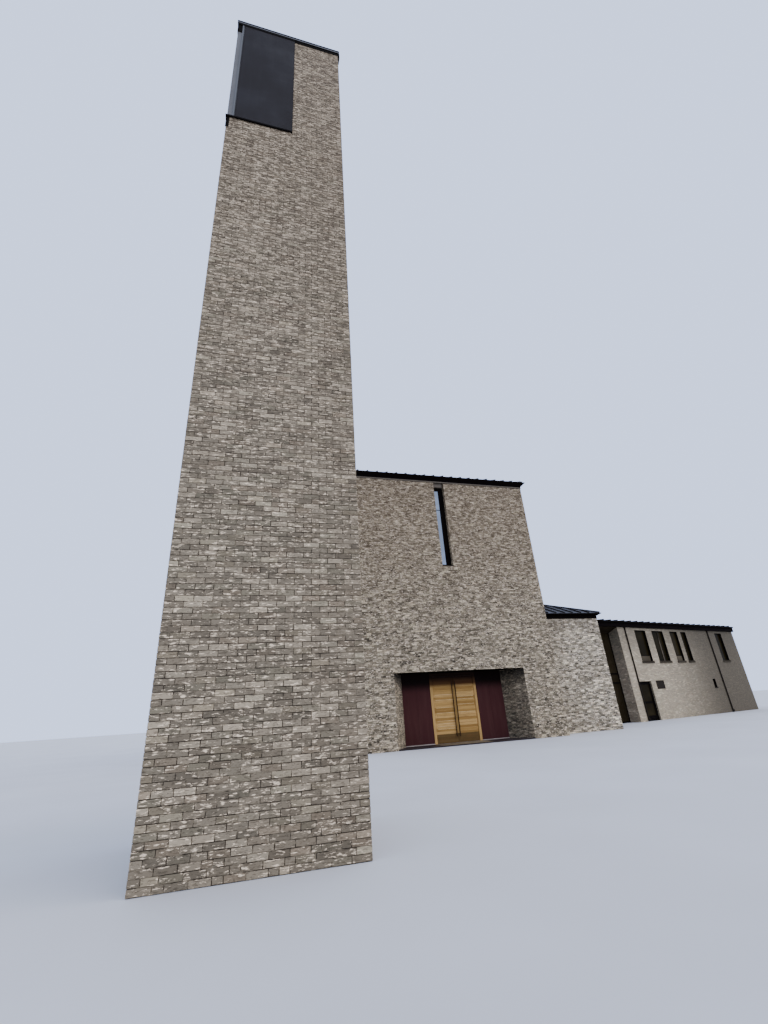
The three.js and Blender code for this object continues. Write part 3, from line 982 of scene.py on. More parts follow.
@dataclass(frozen=True)
class Bond:
    """Bricks laid stretcher and header by turns, with some headers put in at random."""

    LEAST = 0.018
    BRICK_FACES = np.array(Work.BOX_FACES[1:])

    course: float = 0.075
    joint: float = 0.01
    stretcher: float = 0.225
    header: float = 0.1125
    closer: float = 0.16875
    clear: float = 0.04
    stray_header: float = 0.14
    last_brick: float = 0.6
    proud: Pair = (0.0035, 0.0075)
    waver: float = 0.0016
    root: float = 0.001
    map_gap: float = 0.1
    map_lap: float = 0.4

    def joints(
        self, facing: Facing, row: int, below: list[float], chance: np.random.Generator,
    ) -> list[float]:
        """Sets out the upright joints of one course.

        Args:
            facing: The wall face.
            row: Number of the course.
            below: The joints of the course below.
            chance: Source of the random choices.

        Returns:
            Places along the face, with both ends.
        """
        places = [0.0]
        place = self.header if (row % 2 == 0) == facing.header_first else self.stretcher
        while place < facing.length - self.header * self.last_brick:
            places.append(place)
            wanted = self.header if chance.random() < self.stray_header else self.stretcher
            for size in (wanted, self.stretcher, self.closer, self.header):
                near = bisect_left(below, place + size)
                around = below[max(near - 1, 0):near + 1]
                if all(abs(place + size - other) > self.clear for other in around):
                    break
            place += size
        return [*places, facing.length]

    def fronts(self, facing: Facing) -> np.ndarray:
        """Sets out every brick front of a face.

        Args:
            facing: The wall face.

        Returns:
            Rows of start, end, low, high and tone.
        """
        chance = np.random.default_rng(facing.seed)
        found = []
        below: list[float] = []
        gap = self.joint / 2.0
        for row in range(math.ceil(facing.top / self.course)):
            low = row * self.course + gap
            high = min((row + 1) * self.course - gap, facing.top)
            if high - low < self.LEAST:
                continue
            below = self.joints(facing, row, below, chance)
            last = len(below) - 2
            for i, (start, end) in enumerate(zip(below, below[1:])):
                first = start + gap if i else -facing.laps[0]
                final = end - gap if i < last else end + facing.laps[1]
                tone = chance.random()
                found += [(*part, tone) for part in facing.rooms((first, final, low, high))]
        return np.array(found)

    def solid(self, facing: Facing, rows: np.ndarray) -> tuple[np.ndarray, np.ndarray]:
        """Gives brick fronts their depth and their small faults.

        Args:
            facing: The wall face.
            rows: Rows of start, end, low, high and tone.

        Returns:
            The corners of all bricks, eight each, and their places on a flat map.
        """
        chance = np.random.default_rng(facing.seed + 1)
        count = len(rows)
        start, end, low, high = rows[:, :4].T
        along = np.stack((start, end, end, start), 1)
        up = np.stack((low, low, high, high), 1)
        depth = chance.uniform(*self.proud, (count, 1)) * np.ones((1, 4))
        depth += chance.uniform(-self.waver / 2, self.waver / 2, (count, 4))
        shift = chance.uniform(-self.waver, self.waver, (2, count, 4))
        free = (along > 0.0) & (along < facing.length)
        u = np.concatenate((along, along + shift[0] * free), 1)
        v = np.concatenate((up, up + shift[1]), 1)
        out = np.concatenate((np.full((count, 4), -self.root), depth), 1)
        angle = math.radians(facing.heading)
        cos, sin = math.cos(angle), math.sin(angle)
        places = np.stack((facing.x + u * cos + out * sin, facing.y + u * sin - out * cos, v), 2)
        outwards = np.array(((-1, -1), (1, -1), (1, 1), (-1, 1)) + ((0, 0),) * 4)
        flat = np.stack((u, v), 2) + self.joint * self.map_lap * outwards
        return places.reshape(-1, 3), flat.reshape(-1, 2)

    def lay(self, name: str, setting: Setting, finish: Finish, *facings: Facing) -> Piece:
        """Lays the bricks of some wall faces as one piece.

        Args:
            name: Name of the piece.
            setting: The plan axes that the faces are given in.
            finish: The brick finish.
            *facings: The wall faces.

        Returns:
            The new piece.
        """
        corners, maps, tones = [], [], []
        shelf = 0.0
        for facing in facings:
            rows = self.fronts(facing)
            places, flat = self.solid(facing, rows)
            corners.append(places)
            maps.append(flat + (shelf, 0.0))
            tones.append(np.repeat(rows[:, 4], len(self.BRICK_FACES)))
            shelf += facing.length + self.map_gap
        points = setting.world(np.concatenate(corners))
        firsts = np.arange(0, len(points), 8)
        faces = (self.BRICK_FACES[None] + firsts[:, None, None]).reshape(-1, 4)
        mesh = new_mesh(name, points, faces.tolist(), np.concatenate(tones))
        flat = np.concatenate(maps)
        flat = (flat - flat.min(0)) / (flat.max(0) - flat.min(0))
        layer = mesh.uv_layers.new(name=BAKE_MAP)
        layer.data.foreach_set("uv", flat[faces.reshape(-1)].astype(np.float32).reshape(-1))
        return settle(name, mesh, finish)


@dataclass(frozen=True)
class SeamedSlope:
    """One slope of a sheet roof: seams stand on it from the eave up to a hip or ridge."""

    start: Triple
    heading: float
    length: float
    run: float
    pitch: float
    hips: tuple[bool, bool]
    spacing: float = 0.52
    width: float = 0.028
    height: float = 0.058
    start_in: float = 0.026

    def climb(self, station: float) -> float:
        """Finds how far the slope runs in plan, across the eave, at a station along it."""
        ends = [end for end, hip in zip((station, self.length - station), self.hips) if hip]
        return min(self.run, *ends) if ends else self.run

    def seams(self, work: Work) -> None:
        """Adds the standing seams.

        Args:
            work: The piece that takes them.
        """
        angle = math.radians(self.heading)
        along = Vector((math.cos(angle), math.sin(angle), 0.0))
        inward = Vector((-math.sin(angle), math.cos(angle), 0.0))
        rise = inward + Vector((0.0, 0.0, self.pitch))
        normal = along.cross(rise.normalized())
        count = round(self.length / self.spacing)
        step = self.length / count
        for i in range(count):
            station = (i + 0.5) * step
            reach = self.climb(station)
            if reach < self.width:
                continue
            eave = Vector(self.start) + along * station
            head = eave + inward * reach + Vector((0.0, 0.0, self.pitch * reach))
            work.bar(eave + rise * self.start_in, head, self.width, self.height, normal)


def fit_drip(work: Work, x: Pair, y: Pair, edge: float, width: float, sides: int) -> None:
    """Adds the drip under the edge of a roof.

    Args:
        work: The piece that takes it.
        x: Where the roof's edge starts and ends along x.
        y: Where it starts and ends along y.
        edge: Height of the edge.
        width: Width of the drip.
        sides: How many sides have it, from the front on.
    """
    below, height = 0.034, 0.012
    corners = [(side[0], side[1], edge - below) for side in walk(x, y)]
    for i in range(sides):
        work.bar(corners[i], corners[(i + 1) % len(corners)], width, height)


def ridge_cap(work: Work, start: Sequence[float], end: Sequence[float]) -> None:
    """Adds the folded cap of a hip or ridge.

    Args:
        work: The piece that takes it.
        start: Its lower end.
        end: Its upper end.
    """
    low = Vector((0.0, 0.0, -0.03))
    for width, height in ((0.17, 0.05), (0.05, 0.085)):
        work.bar(Vector(start) + low, Vector(end) + low, width, height)


@dataclass(frozen=True)
class Wall:
    """The outer face of a wall along the setting's x: its place along y, and the way in as a sign."""

    face: float
    inward: float = 1.0

    def across(self, near: float, far: float) -> Pair:
        """Gives a range of depths, counted inwards from the face, in order."""
        return span(self.face + self.inward * near, self.face + self.inward * far)

    def line(self, work: Work, opening: Hole, depth: float) -> None:
        """Lines the jambs and the head of an opening with folded sheet.

        Args:
            work: The piece that takes it.
            opening: The opening in the wall.
            depth: How far the lining reaches into the wall.
        """
        sheet, proud, clear = 0.006, 0.009, 0.0005
        x, z = (opening.start + clear, opening.end - clear), (opening.low, opening.high - clear)
        work.rim(x, self.across(-proud, depth), z, sheet - clear, foot=False)


@dataclass(frozen=True)
class Window:
    """A framed window, whose frame stands on a plane of its own in the wall."""

    RAIL, LAP, MIDDLE, GLASS = 0.42, 0.6, 0.5, 0.012

    left: float
    right: float
    sill: float
    head: float
    plane: Wall
    bar: float = 0.05
    depth: float = 0.05
    rails: tuple[float, ...] = ()

    def frame(self, work: Work) -> None:
        """Adds the frame with its rails.

        Args:
            work: The piece that takes them.
        """
        thinner, half = 0.007, self.bar * self.RAIL
        deep = self.plane.across(0.0, self.depth)
        inner = work.rim((self.left, self.right), deep, (self.sill, self.head), self.bar)
        for z in self.rails:
            work.block(inner, self.plane.across(thinner, self.depth - thinner), (z - half, z + half))

    def pane(self, work: Work) -> None:
        """Adds the glass, a little behind the middle of the frame.

        Args:
            work: The piece that takes it.
        """
        lap, near = self.bar * self.LAP, self.depth * self.MIDDLE
        deep = self.plane.across(near, near + self.GLASS)
        work.block((self.left + lap, self.right - lap), deep, (self.sill + lap, self.head - lap))


@dataclass(frozen=True)
class Tower:
    """The bell tower with its belfry panels and coping."""

    left: float = -10.48
    right: float = -8.0
    front: float = -15.82
    back: float = -13.34
    top: float = 17.5
    belfry_right: float = -9.11
    belfry_back: float = -14.45
    sill: float = 13.38
    strip: float = 0.145
    panel_low: float = 13.422
    first_seed: int = 11

    def build(self) -> None:
        """Lays the bricks, fits the trims and dresses the nodes."""
        self.lay_bricks()
        self.fit_panel_folds()
        self.fit_corner()
        self.fit_coping()
        dress(Finish.MORTAR, *(f"tower_{side}_wall" for side in SIDES))
        dress(Finish.DARK_COATED_SHEET, "belfry_front_panel", "belfry_side_panel", "tower_cap")
        dress(Finish.BLACK_TRIM, "belfry_sill")
        dress(Finish.STRIP_SHEET, "belfry_corner_post")

    def lay_bricks(self) -> None:
        """Lays the four faces, with the corner bricks lapping round."""
        over = self.top + 1.0
        behind = Hole(self.back - self.belfry_back, self.right - self.left + 1.0, self.sill, over)
        holes = {
            "front": (Hole(-1.0, self.belfry_right - self.left, self.sill, over),),
            "left": (behind,),
        }
        round_it = walk((self.left, self.right), (self.front, self.back))
        for i, (name, side) in enumerate(zip(SIDES, round_it)):
            turned = name in ("right", "left")
            laps = Facing.BARE if turned else Facing.LAPPED
            facing = Facing(*side, self.top, self.first_seed + 2 * i, holes.get(name, ()), laps, turned)
            Bond().lay(f"tower_bricks_{name}", CHURCH, Finish.TOWER_BRICK, facing)

    def fit_panel_folds(self) -> None:
        """Fits the folded edges of the two belfry panels."""
        fold, proud, base, beside = 0.012, 0.004, 0.025, self.strip + 0.002
        low, high = self.panel_low, self.top - 0.152
        edges = Work()
        face = (self.front - base - proud, self.front - base)
        edges.rim((self.left + beside, self.belfry_right - HAIR), face, (low, high), fold, head=False)
        side = (self.left - base - proud, self.left - base)
        start, end = self.front + beside, self.belfry_back - HAIR
        edges.block(side, (start, start + fold), (low, high))
        edges.block(side, (end - fold, end), (low, high))
        edges.block(side, (start + fold, end - fold), (low, low + fold))
        edges.piece("belfry_panel_folds", Finish.DARK_COATED_SHEET, Slot.DARK_METAL)

    def fit_corner(self) -> None:
        """Fits the strip on the corner with its fold, and the flashings above and below it."""
        low, shoulder, apron = self.panel_low, 17.05, (13.02, self.sill)
        sheet, thin, out, deep, tuck = 0.006, 0.009, 0.02, 0.06, 0.05
        x, y, edge = self.left, self.front, self.left + self.strip
        strip = Work()
        strip.block((x, edge - tuck), (y - sheet, y), (low, shoulder))
        strip.block((x - sheet, x), (y - sheet, y + self.strip), (low, shoulder))
        strip.piece("belfry_corner_strip", Finish.STRIP_SHEET, Slot.PALE_METAL, bevel=WORN_EDGE)
        fold = Work()
        fold.block((edge - 0.048, edge - 0.012), (y - 0.029, y), (low, self.top - 0.064))
        fold.piece("belfry_corner_fold", Finish.PALE_SHEET, Slot.PALE_METAL, bevel=WORN_EDGE)
        flashing = Work()
        hood = (shoulder, self.top - 0.002)
        flashing.block((x - out, edge - tuck), (y - out, y + deep), hood)
        flashing.block((x - out, x + out), (y + deep, y + self.strip), hood)
        flashing.block((x - out, x + tuck), (y - thin, y), apron)
        flashing.block((x - thin, x), (y, y + deep), apron)
        flashing.piece("belfry_corner_flashing", Finish.BLACK_TRIM, Slot.DARK_METAL, bevel=WORN_EDGE)

    def fit_coping(self) -> None:
        """Hangs the folded skirts from the coping's edges, with a pale band across them that is a painted
        reflection on the coping's face.
        """
        lip, sheet, inner, thin, clear = 0.03, 0.004, 0.012, 0.0005, 0.0085
        x0, x1, y0, y1 = self.left - lip, self.right + lip, self.front - lip, self.back + lip
        outside = ((x0 - sheet, x1 + sheet), (y0 - sheet, y1 + sheet))
        inside = ((x0 + thin, x1 - thin), (y0 + thin, y1 - thin))
        # Painted reflection: the pale band across the skirts stands for the light on the coping's face.
        drip = (self.top - 0.05, self.top - 0.014)
        line, skirt = Work(), Work()
        line.hoop(outside, inside, drip)
        line.piece("coping_sheen_band", Finish.PALE_SHEET, Slot.PALE_METAL)
        skirt.hoop(outside, inside, (drip[1], self.top + 0.049))
        under = (self.top - 0.15, self.top - HAIR)
        for across in ((y0 + inner, self.front - clear), (self.back + clear, y1 - inner)):
            skirt.block((x0 + inner, x1 - inner), across, under)
        for across in ((x0 + inner, self.left - clear), (self.right + clear, x1 - inner)):
            skirt.block(across, (self.front, self.back), under)
        end, over_belfry = (self.right + clear, x1 + inner), (x0 + inner, self.belfry_right + 0.01)
        skirt.block(end, (y0 + inner, self.front + 0.12), (self.top - 0.26, drip[0] - thin))
        skirt.block(over_belfry, (y0 - sheet, y0 + thin), (self.top - 0.13, drip[0]))
        skirt.piece("coping_skirt", Finish.BLACK_TRIM, Slot.DARK_METAL)


@dataclass(frozen=True)
class SlotWindow:
    """The tall narrow window of the nave's front or back wall."""

    name: str
    wall: Wall
    half: float = 0.3
    sill: float = 8.18
    head: float = 12.95
    panel_low: float = 12.66
    glass_top: float = 12.52
    set_back: float = 0.27
    glass_right: float = 0.06
    rail: float = 11.35
    bar: float = 0.035
    depth: float = 0.045
    nose: float = 0.03
    sheet: float = 0.02

    def build(self) -> None:
        """Fits the frame, the blind panel beside the glass, the sill and the head box."""
        plane = Wall(self.wall.face + self.wall.inward * (self.set_back - self.depth), self.wall.inward)
        glazed = (-self.half, self.glass_right, self.sill, self.glass_top)
        window = Window(*glazed, plane, self.bar, self.depth, (self.rail,))
        bars, panes, ledge, box = (Work() for _ in range(4))
        window.frame(bars)
        top = self.head - 0.006
        bars.block((self.glass_right, self.half), plane.across(-0.012, self.depth), (self.sill, top))
        bars.block((-self.half, self.glass_right), plane.across(-0.02, self.depth), (self.glass_top, top))
        bars.piece(f"{self.name}_frame", Finish.BLACK_TRIM, Slot.DARK_METAL, bevel=WORN_EDGE)
        window.pane(panes)
        panes.piece(f"{self.name}_pane", Finish.COATED_GLASS, Slot.GLASS, replaces=(f"{self.name}_glass",))
        wide = (-self.half, self.half)
        ledge.block(wide, self.wall.across(-self.nose, self.set_back), (self.sill, self.sill + self.sheet))
        ledge.block(wide, self.wall.across(-self.nose, -0.012), (self.sill - self.nose, self.sill))
        ledge.piece(f"{self.name}_sill", Finish.BLACK_TRIM, Slot.DARK_METAL, bevel=ROUND_EDGE)
        deep = self.wall.across(0.09, self.set_back - 0.066)
        box.block((0.002 - self.half, self.half - 0.06), deep, (self.panel_low, top))
        box.piece(f"{self.name}_head_panel", Finish.TAUPE_SHEET, Slot.PALE_METAL, bevel=ROUND_EDGE)


@dataclass(frozen=True)
class Nave:
    """The tall block: bricks, slot windows, eaves and the hipped sheet roof."""

    half: float = 5.1
    front: float = -1.15
    back: float = 14.85
    top: float = 12.95
    overhang: float = 0.22
    edge: float = 13.2003
    pitch: float = 0.4245
    annex: Hole = Hole(1.08, 11.35, -1.0, 5.87)

    def build(self) -> None:
        """Lays the bricks, fits windows, eaves and roof, and dresses the nodes."""
        self.lay_bricks()
        SlotWindow("front_slot", Wall(self.front)).build()
        SlotWindow("back_slot", Wall(self.back, -1.0)).build()
        self.fit_eaves()
        self.fit_roof()
        dress(Finish.NAVE_MORTAR, *(f"nave_front_wall_{part}" for part in ("left", "right", "upper")))
        dress(Finish.NAVE_MORTAR, *(f"nave_{side}_wall" for side in SIDES[1:]))
        dress(Finish.EAVES_SHEET, "nave_eaves")
        dress(Finish.ROOF_SHEET, "nave_roof")
        dress(Finish.CONCRETE, "nave_floor")

    def roof_plan(self) -> tuple[Pair, Pair]:
        """Gives where the roof's edge starts and ends along x and along y."""
        x = self.half + self.overhang
        return (-x, x), (self.front - self.overhang, self.back + self.overhang)

    def jambs(self, face: float, seeds: tuple[int, int], header_first: bool) -> tuple[Facing, Facing]:
        """Sets out the two reveals of a slot window.

        Args:
            face: Where the reveals start along y.
            seeds: Seeds of the left and the right one.
            header_first: Whether the right one starts with a header.

        Returns:
            The left and the right reveal.
        """
        half, deep, below = SlotWindow.half, SlotWindow.set_back, (Hole(-1.0, 1.0, -1.0, 8.2),)
        left = Facing(-half, face, 90.0, deep, self.top, seeds[0], below)
        right = Facing(half, face + deep, 270.0, deep, self.top, seeds[1], below, header_first=header_first)
        return left, right

    def lay_bricks(self) -> None:
        """Lays the four faces and the reveals of the slot windows."""
        front, right, back, left = walk((-self.half, self.half), (self.front, self.back))
        middle, over = self.half, self.top + 0.1
        slot = Hole(middle - SlotWindow.half, middle + SlotWindow.half, SlotWindow.sill, over)
        porch = Hole(middle - Porch.half, middle + Porch.half, -1.0, Porch.height)
        front_reveals = self.jambs(self.front, (22, 24), True)
        back_reveals = self.jambs(self.back - SlotWindow.set_back, (28, 29), False)
        for name, facings in (
            ("front", (Facing(*front, self.top, 21, (slot, porch), Facing.LAPPED), *front_reveals)),
            ("right", (Facing(*right, self.top, 25, (self.annex,), header_first=True),)),
            ("back", (Facing(*back, self.top, 27, (slot,), Facing.LAPPED), *back_reveals)),
            ("left", (Facing(*left, self.top, 31, header_first=True),)),
        ):
            Bond().lay(f"nave_bricks_{name}", CHURCH, Finish.NAVE_BRICK, *facings)

    def fit_eaves(self) -> None:
        """Fits the drip, the seams of the leaning soffit, and the bands on the wall under it."""
        (x0, x1), (y0, y1) = self.roof_plan()
        y1 -= 0.01
        trim = Work()
        fit_drip(trim, (x0, x1), (y0, y1), self.edge, 0.018, len(SIDES))
        low, high, inner, step = self.top + 0.032, self.edge - 0.03, 0.02, 2.0
        wide, sheet, front_step, corner = 0.04, 0.004, 1.6, 1.0
        for place in np.arange(y0 + step, y1 - corner, step):
            for way in (-1.0, 1.0):
                head = (way * (x1 - sheet), place, high)
                trim.bar((way * (self.half + inner), place, low), head, wide, sheet, (way, 0.0, -1.0))
        for place in np.arange(x0 + front_step, x1 - corner, step):
            for wall, edge, way in ((self.front, y0, -1.0), (self.back, y1, 1.0)):
                head = (place, edge - way * sheet, high)
                trim.bar((place, wall + way * inner, low), head, wide, sheet, (0.0, way, -1.0))
        trim.piece("nave_soffit_seams", Finish.EAVES_SHEET, Slot.DARK_METAL)
        gap = self.top - 0.065
        self.band("nave_wall_band", 0.026, (gap, self.top - HAIR), Finish.TAUPE_SHEET)
        self.band("nave_band_shadow_gap", 0.012, (self.top - 0.083, gap), Finish.BLACK_TRIM)

    def band(self, name: str, reach: float, z: Pair, finish: Finish) -> None:
        """Adds a level band round the walls.

        Args:
            name: Name of the piece.
            reach: How far it stands out.
            z: Its lower and upper edge.
            finish: Its finish.
        """
        outer, inner = (
            ((-self.half - out, self.half + out), (self.front - out, self.back + out))
            for out in (reach, HAIR)
        )
        work = Work()
        work.hoop(outer, inner, z)
        work.piece(name, finish, Slot.DARK_METAL, bevel=WORN_EDGE)

    def fit_roof(self) -> None:
        """Fits the standing seams and the caps of hips and ridge."""
        x, y = self.roof_plan()
        z, run = self.edge, x[1]
        front, back = ((0.0, place, z + run * self.pitch) for place in (y[0] + run, y[1] - run))
        seams, caps = Work(), Work()
        for (start_x, start_y, heading, length), head in zip(walk(x, y), (front, front, back, back)):
            corner = (start_x, start_y, z)
            SeamedSlope(corner, heading, length, run, self.pitch, (True, True)).seams(seams)
            ridge_cap(caps, Vector(corner).lerp(Vector(head), 0.02), head)
        ridge_cap(caps, front, back)
        seams.piece("nave_roof_seams", Finish.ROOF_SHEET, Slot.ROOF_METAL)
        caps.piece("nave_roof_caps", Finish.ROOF_SHEET, Slot.ROOF_METAL)


@dataclass(frozen=True)
class MainDoor:
    """The boards of one main door leaf."""

    side: Side
    face: float = 0.01
    low: float = 0.066
    high: float = 2.928
    boards_from: float = 0.44
    boards_to: float = 2.47
    board: float = 0.113
    gap: float = 0.005
    thick: float = 0.009
    lip: float = 0.006
    meeting: float = 0.008
    strip: float = 0.066
    boards_in: float = 0.07
    hinge: float = 0.973
    kick_gap: Pair = (0.252, 0.256)
    strip_tone: float = 0.66
    # Tones of the board noses: the pale ones are a painted highlight where the boards' top edges catch the
    # light.
    nose_tones_with_highlight: Triple = (0.3, 0.75, 1.0)

    def build(self) -> None:
        """Fits level boards, upright edge strips and the kick boards."""
        body = Body[f"DOOR_{self.side.name}"]
        chance = np.random.default_rng(41 if self.side is Side.LEFT else 43)
        inner, whole = (self.side.span(near, self.hinge) for near in (self.boards_in, self.meeting))
        deep = (self.face - self.thick, self.face)
        nose = (deep[0] - self.lip, deep[0])
        boards, edges = Work(), Work()
        place = self.boards_from
        while place < self.boards_to - self.board * 0.5:
            top = place + self.board - self.gap
            boards.block(inner, deep, (place, top))
            # The nose strip on each board's top edge, with a painted highlight when its tone is pale.
            edges.block(inner, nose, (top - self.lip * 2.0, top), float(chance.choice(self.nose_tones_with_highlight)))
            place += self.board
        strip = self.side.span(self.meeting, self.strip)
        edges.block(strip, deep, (self.boards_from, self.high), self.strip_tone)
        boards.block(whole, deep, (self.low, self.kick_gap[0]))
        boards.block(whole, deep, (self.kick_gap[1], self.boards_from - self.gap))
        boards.block(inner, deep, (place, self.high))
        finish = Finish[f"OAK_BOARDS_{self.side.name}"]
        boards.piece(f"{body.value}_boards", finish, Slot.OAK, body, bevel=WORN_EDGE)
        edges.piece(f"{body.value}_board_edges", Finish.OAK_EDGES, Slot.OAK, body, bevel=WORN_EDGE)
        dress(finish, f"main_door_leaf_{self.side.name.lower()}")
        dress(Finish.PULL_BRONZE, f"main_door_pull_{self.side.name.lower()}")


@dataclass(frozen=True)
class Porch:
    """The splayed porch with its soffit boards, panels, threshold and doors."""

    half: float = 3.27
    inner: float = 2.59
    front: float = -1.15
    height: float = 3.1
    floor: float = 0.05
    panel: Pair = (1.19, 2.584)
    door_half: float = 1.185

    def build(self) -> None:
        """Lays the cheek bricks, fits the trims and dresses the nodes."""
        self.lay_bricks()
        self.fit_soffit()
        self.fit_panels()
        self.fit_threshold()
        self.lay_mat()
        for side in Side:
            MainDoor(side).build()
        dress(Finish.MORTAR, "porch_cheek_left", "porch_cheek_right")
        dress(Finish.MAROON_PANEL, "porch_panel_left", "porch_panel_right")
        dress(Finish.SOFFIT_SHEET, "porch_soffit")
        dress(Finish.PORCH_STONE, "porch_floor")
        dress(Finish.OAK_POSTS, "main_door_frame")

    def lay_bricks(self) -> None:
        """Lays the two splayed cheeks."""
        run = math.hypot(self.half - self.inner, self.front)
        angle = math.degrees(math.atan2(-self.front, self.half - self.inner))
        floor, top = (Hole(-1.0, 9.0, -1.0, self.floor),), self.height - 0.02
        left = Facing(-self.half, self.front, angle, run, top, 51, floor)
        right = Facing(self.inner, 0.0, -angle, run, top, 53, floor, header_first=True)
        Bond().lay("porch_bricks_left", CHURCH, Finish.PORCH_BRICK, left)
        Bond().lay("porch_bricks_right", CHURCH, Finish.SHADED_BRICK, right)

    def fit_soffit(self) -> None:
        """Fits the level boards under the porch's ceiling."""
        boards = Work()
        splay = (self.half - self.inner) / -self.front
        step, gap, clear = 0.125, 0.006, 0.012
        z = (self.height - 0.013, self.height - HAIR)
        place = self.front + 0.03
        while place + step < -0.02:
            reach = self.half - splay * (place + step - self.front) - clear
            boards.block((-reach, reach), (place, place + step - gap), z)
            place += step
        boards.piece("porch_soffit_boards", Finish.SOFFIT_SHEET, Slot.DARK_METAL, bevel=WORN_EDGE)

    def fit_panels(self) -> None:
        """Fits the cover strips of the maroon panels."""
        strips = Work()
        near, far = self.panel
        joint, upright = (1.878, 1.892), (0.244, self.height - 0.016)
        foot = (self.floor + 0.037, 0.234)
        for side in Side:
            for start, end in ((near, near + 0.025), joint, (far - 0.024, far)):
                strips.block(side.span(start, end), (-0.006, 0.0), upright)
            strips.block(side.span(near, far), (-0.01, 0.0), foot)
        strips.piece("porch_panel_strips", Finish.MAROON_PANEL, Slot.MAROON, bevel=WORN_EDGE)

    def fit_threshold(self) -> None:
        """Fits the stone under the panels and before the doors."""
        low = self.floor + HAIR
        near, far = self.panel
        sill = Work()
        for side in Side:
            sill.block(side.span(near, far + HAIR), (-0.03, 0.0), (low, low + 0.034))
        sill.block((-self.door_half, self.door_half), (-0.05, -0.012), (low, low + 0.007))
        sill.piece("porch_threshold", Finish.THRESHOLD_STONE, Slot.CONCRETE, bevel=ROUND_EDGE)

    def lay_mat(self) -> None:
        """Lays the ribbed mat before the doors, between two edge strips."""
        low, rib, step, height, strip = self.floor + HAIR, 0.022, 0.034, 0.0065, 0.02
        first, last, strips = -1.16, 1.14, (-1.19, 1.165)
        ribs_deep, strips_deep = (-1.13, -0.06), (-1.14, -0.055)
        mat = Work()
        for place in np.arange(first, last, step):
            mat.block((place, place + rib), ribs_deep, (low, low + height))
        for place in strips:
            mat.block((place, place + strip), strips_deep, (low, low + height + HAIR))
        mat.piece("porch_mat", Finish.PORCH_MAT, Slot.CONCRETE)


@dataclass(frozen=True)
class Annex:
    """The low annex with its hipped sheet roof."""

    left: float = 5.1003
    right: float = 9.06
    front: float = -0.07
    back: float = 10.2
    top: float = 5.6
    overhang: float = 0.22
    edge: float = 5.8703
    pitch: float = 0.4245
    wing: Hole = Hole(3.54, 9.97, -1.0, 5.7)

    def build(self) -> None:
        """Lays the bricks, fits eaves and roof, and dresses the nodes."""
        self.lay_bricks()
        self.fit_eaves()
        self.fit_roof()
        dress(Finish.NAVE_MORTAR, "annex_front_wall", "annex_right_wall", "annex_back_wall")
        dress(Finish.EAVES_SHEET, "annex_eaves")
        dress(Finish.ROOF_SHEET, "annex_roof")

    def roof_plan(self) -> tuple[Pair, Pair]:
        """Gives where the roof's edge starts and ends along x and along y."""
        out = self.overhang
        return (self.left, self.right + out), (self.front - out, self.back + out)

    def lay_bricks(self) -> None:
        """Lays the front, right and back faces."""
        front, right, back, _ = walk((self.left, self.right), (self.front, self.back))
        Bond().lay(
            "annex_bricks", CHURCH, Finish.ANNEX_BRICK,
            Facing(*front, self.top, 61, laps=(0.0, Facing.LAP)),
            Facing(*right, self.top, 63, (self.wing,), header_first=True),
            Facing(*back, self.top, 65, laps=(Facing.LAP, 0.0)))

    def fit_eaves(self) -> None:
        """Fits the drip along the roof's edge and the fold under the upright band."""
        trim = Work()
        fit_drip(trim, *self.roof_plan(), self.edge, 0.02, 3)
        reach, z = 0.034, (self.top + 0.002, self.top + 0.022)
        x, y = (self.left + 0.004, self.right + reach), (self.front - HAIR, self.back + HAIR)
        trim.block(x, (self.front - reach, y[0]), z)
        trim.block((self.right + HAIR, x[1]), y, z)
        trim.block(x, (y[1], self.back + reach), z)
        trim.piece("annex_eaves_trim", Finish.EAVES_SHEET, Slot.DARK_METAL, bevel=WORN_EDGE)

    def fit_roof(self) -> None:
        """Fits the standing seams, the hip caps and the flashing against the nave."""
        x, y = self.roof_plan()
        z, run = self.edge, x[1] - x[0]
        peak, wide, high = z + run * self.pitch, 0.08, 0.1
        seams, caps = Work(), Work()
        hips = ((False, True), (True, True), (True, False))
        for (start_x, start_y, heading, length), ends in zip(walk(x, y), hips):
            SeamedSlope((start_x, start_y, z), heading, length, run, self.pitch, ends).seams(seams)
        seams.piece("annex_roof_seams", Finish.ROOF_SHEET, Slot.ROOF_METAL)
        wall = self.left + 0.045
        for place, way in ((y[0], 1.0), (y[1], -1.0)):
            head = (self.left + 0.02, place + way * (run - 0.02), peak - 0.01)
            ridge_cap(caps, Vector((x[1], place, z)).lerp(Vector(head), 0.015), head)
            caps.bar((wall, place, z - 0.01), (wall, place + way * run, peak - 0.01), wide, high)
        caps.bar((wall, y[0] + run, peak - 0.02), (wall, y[1] - run, peak - 0.02), wide, high)
        caps.piece("annex_roof_caps", Finish.ROOF_SHEET, Slot.ROOF_METAL)


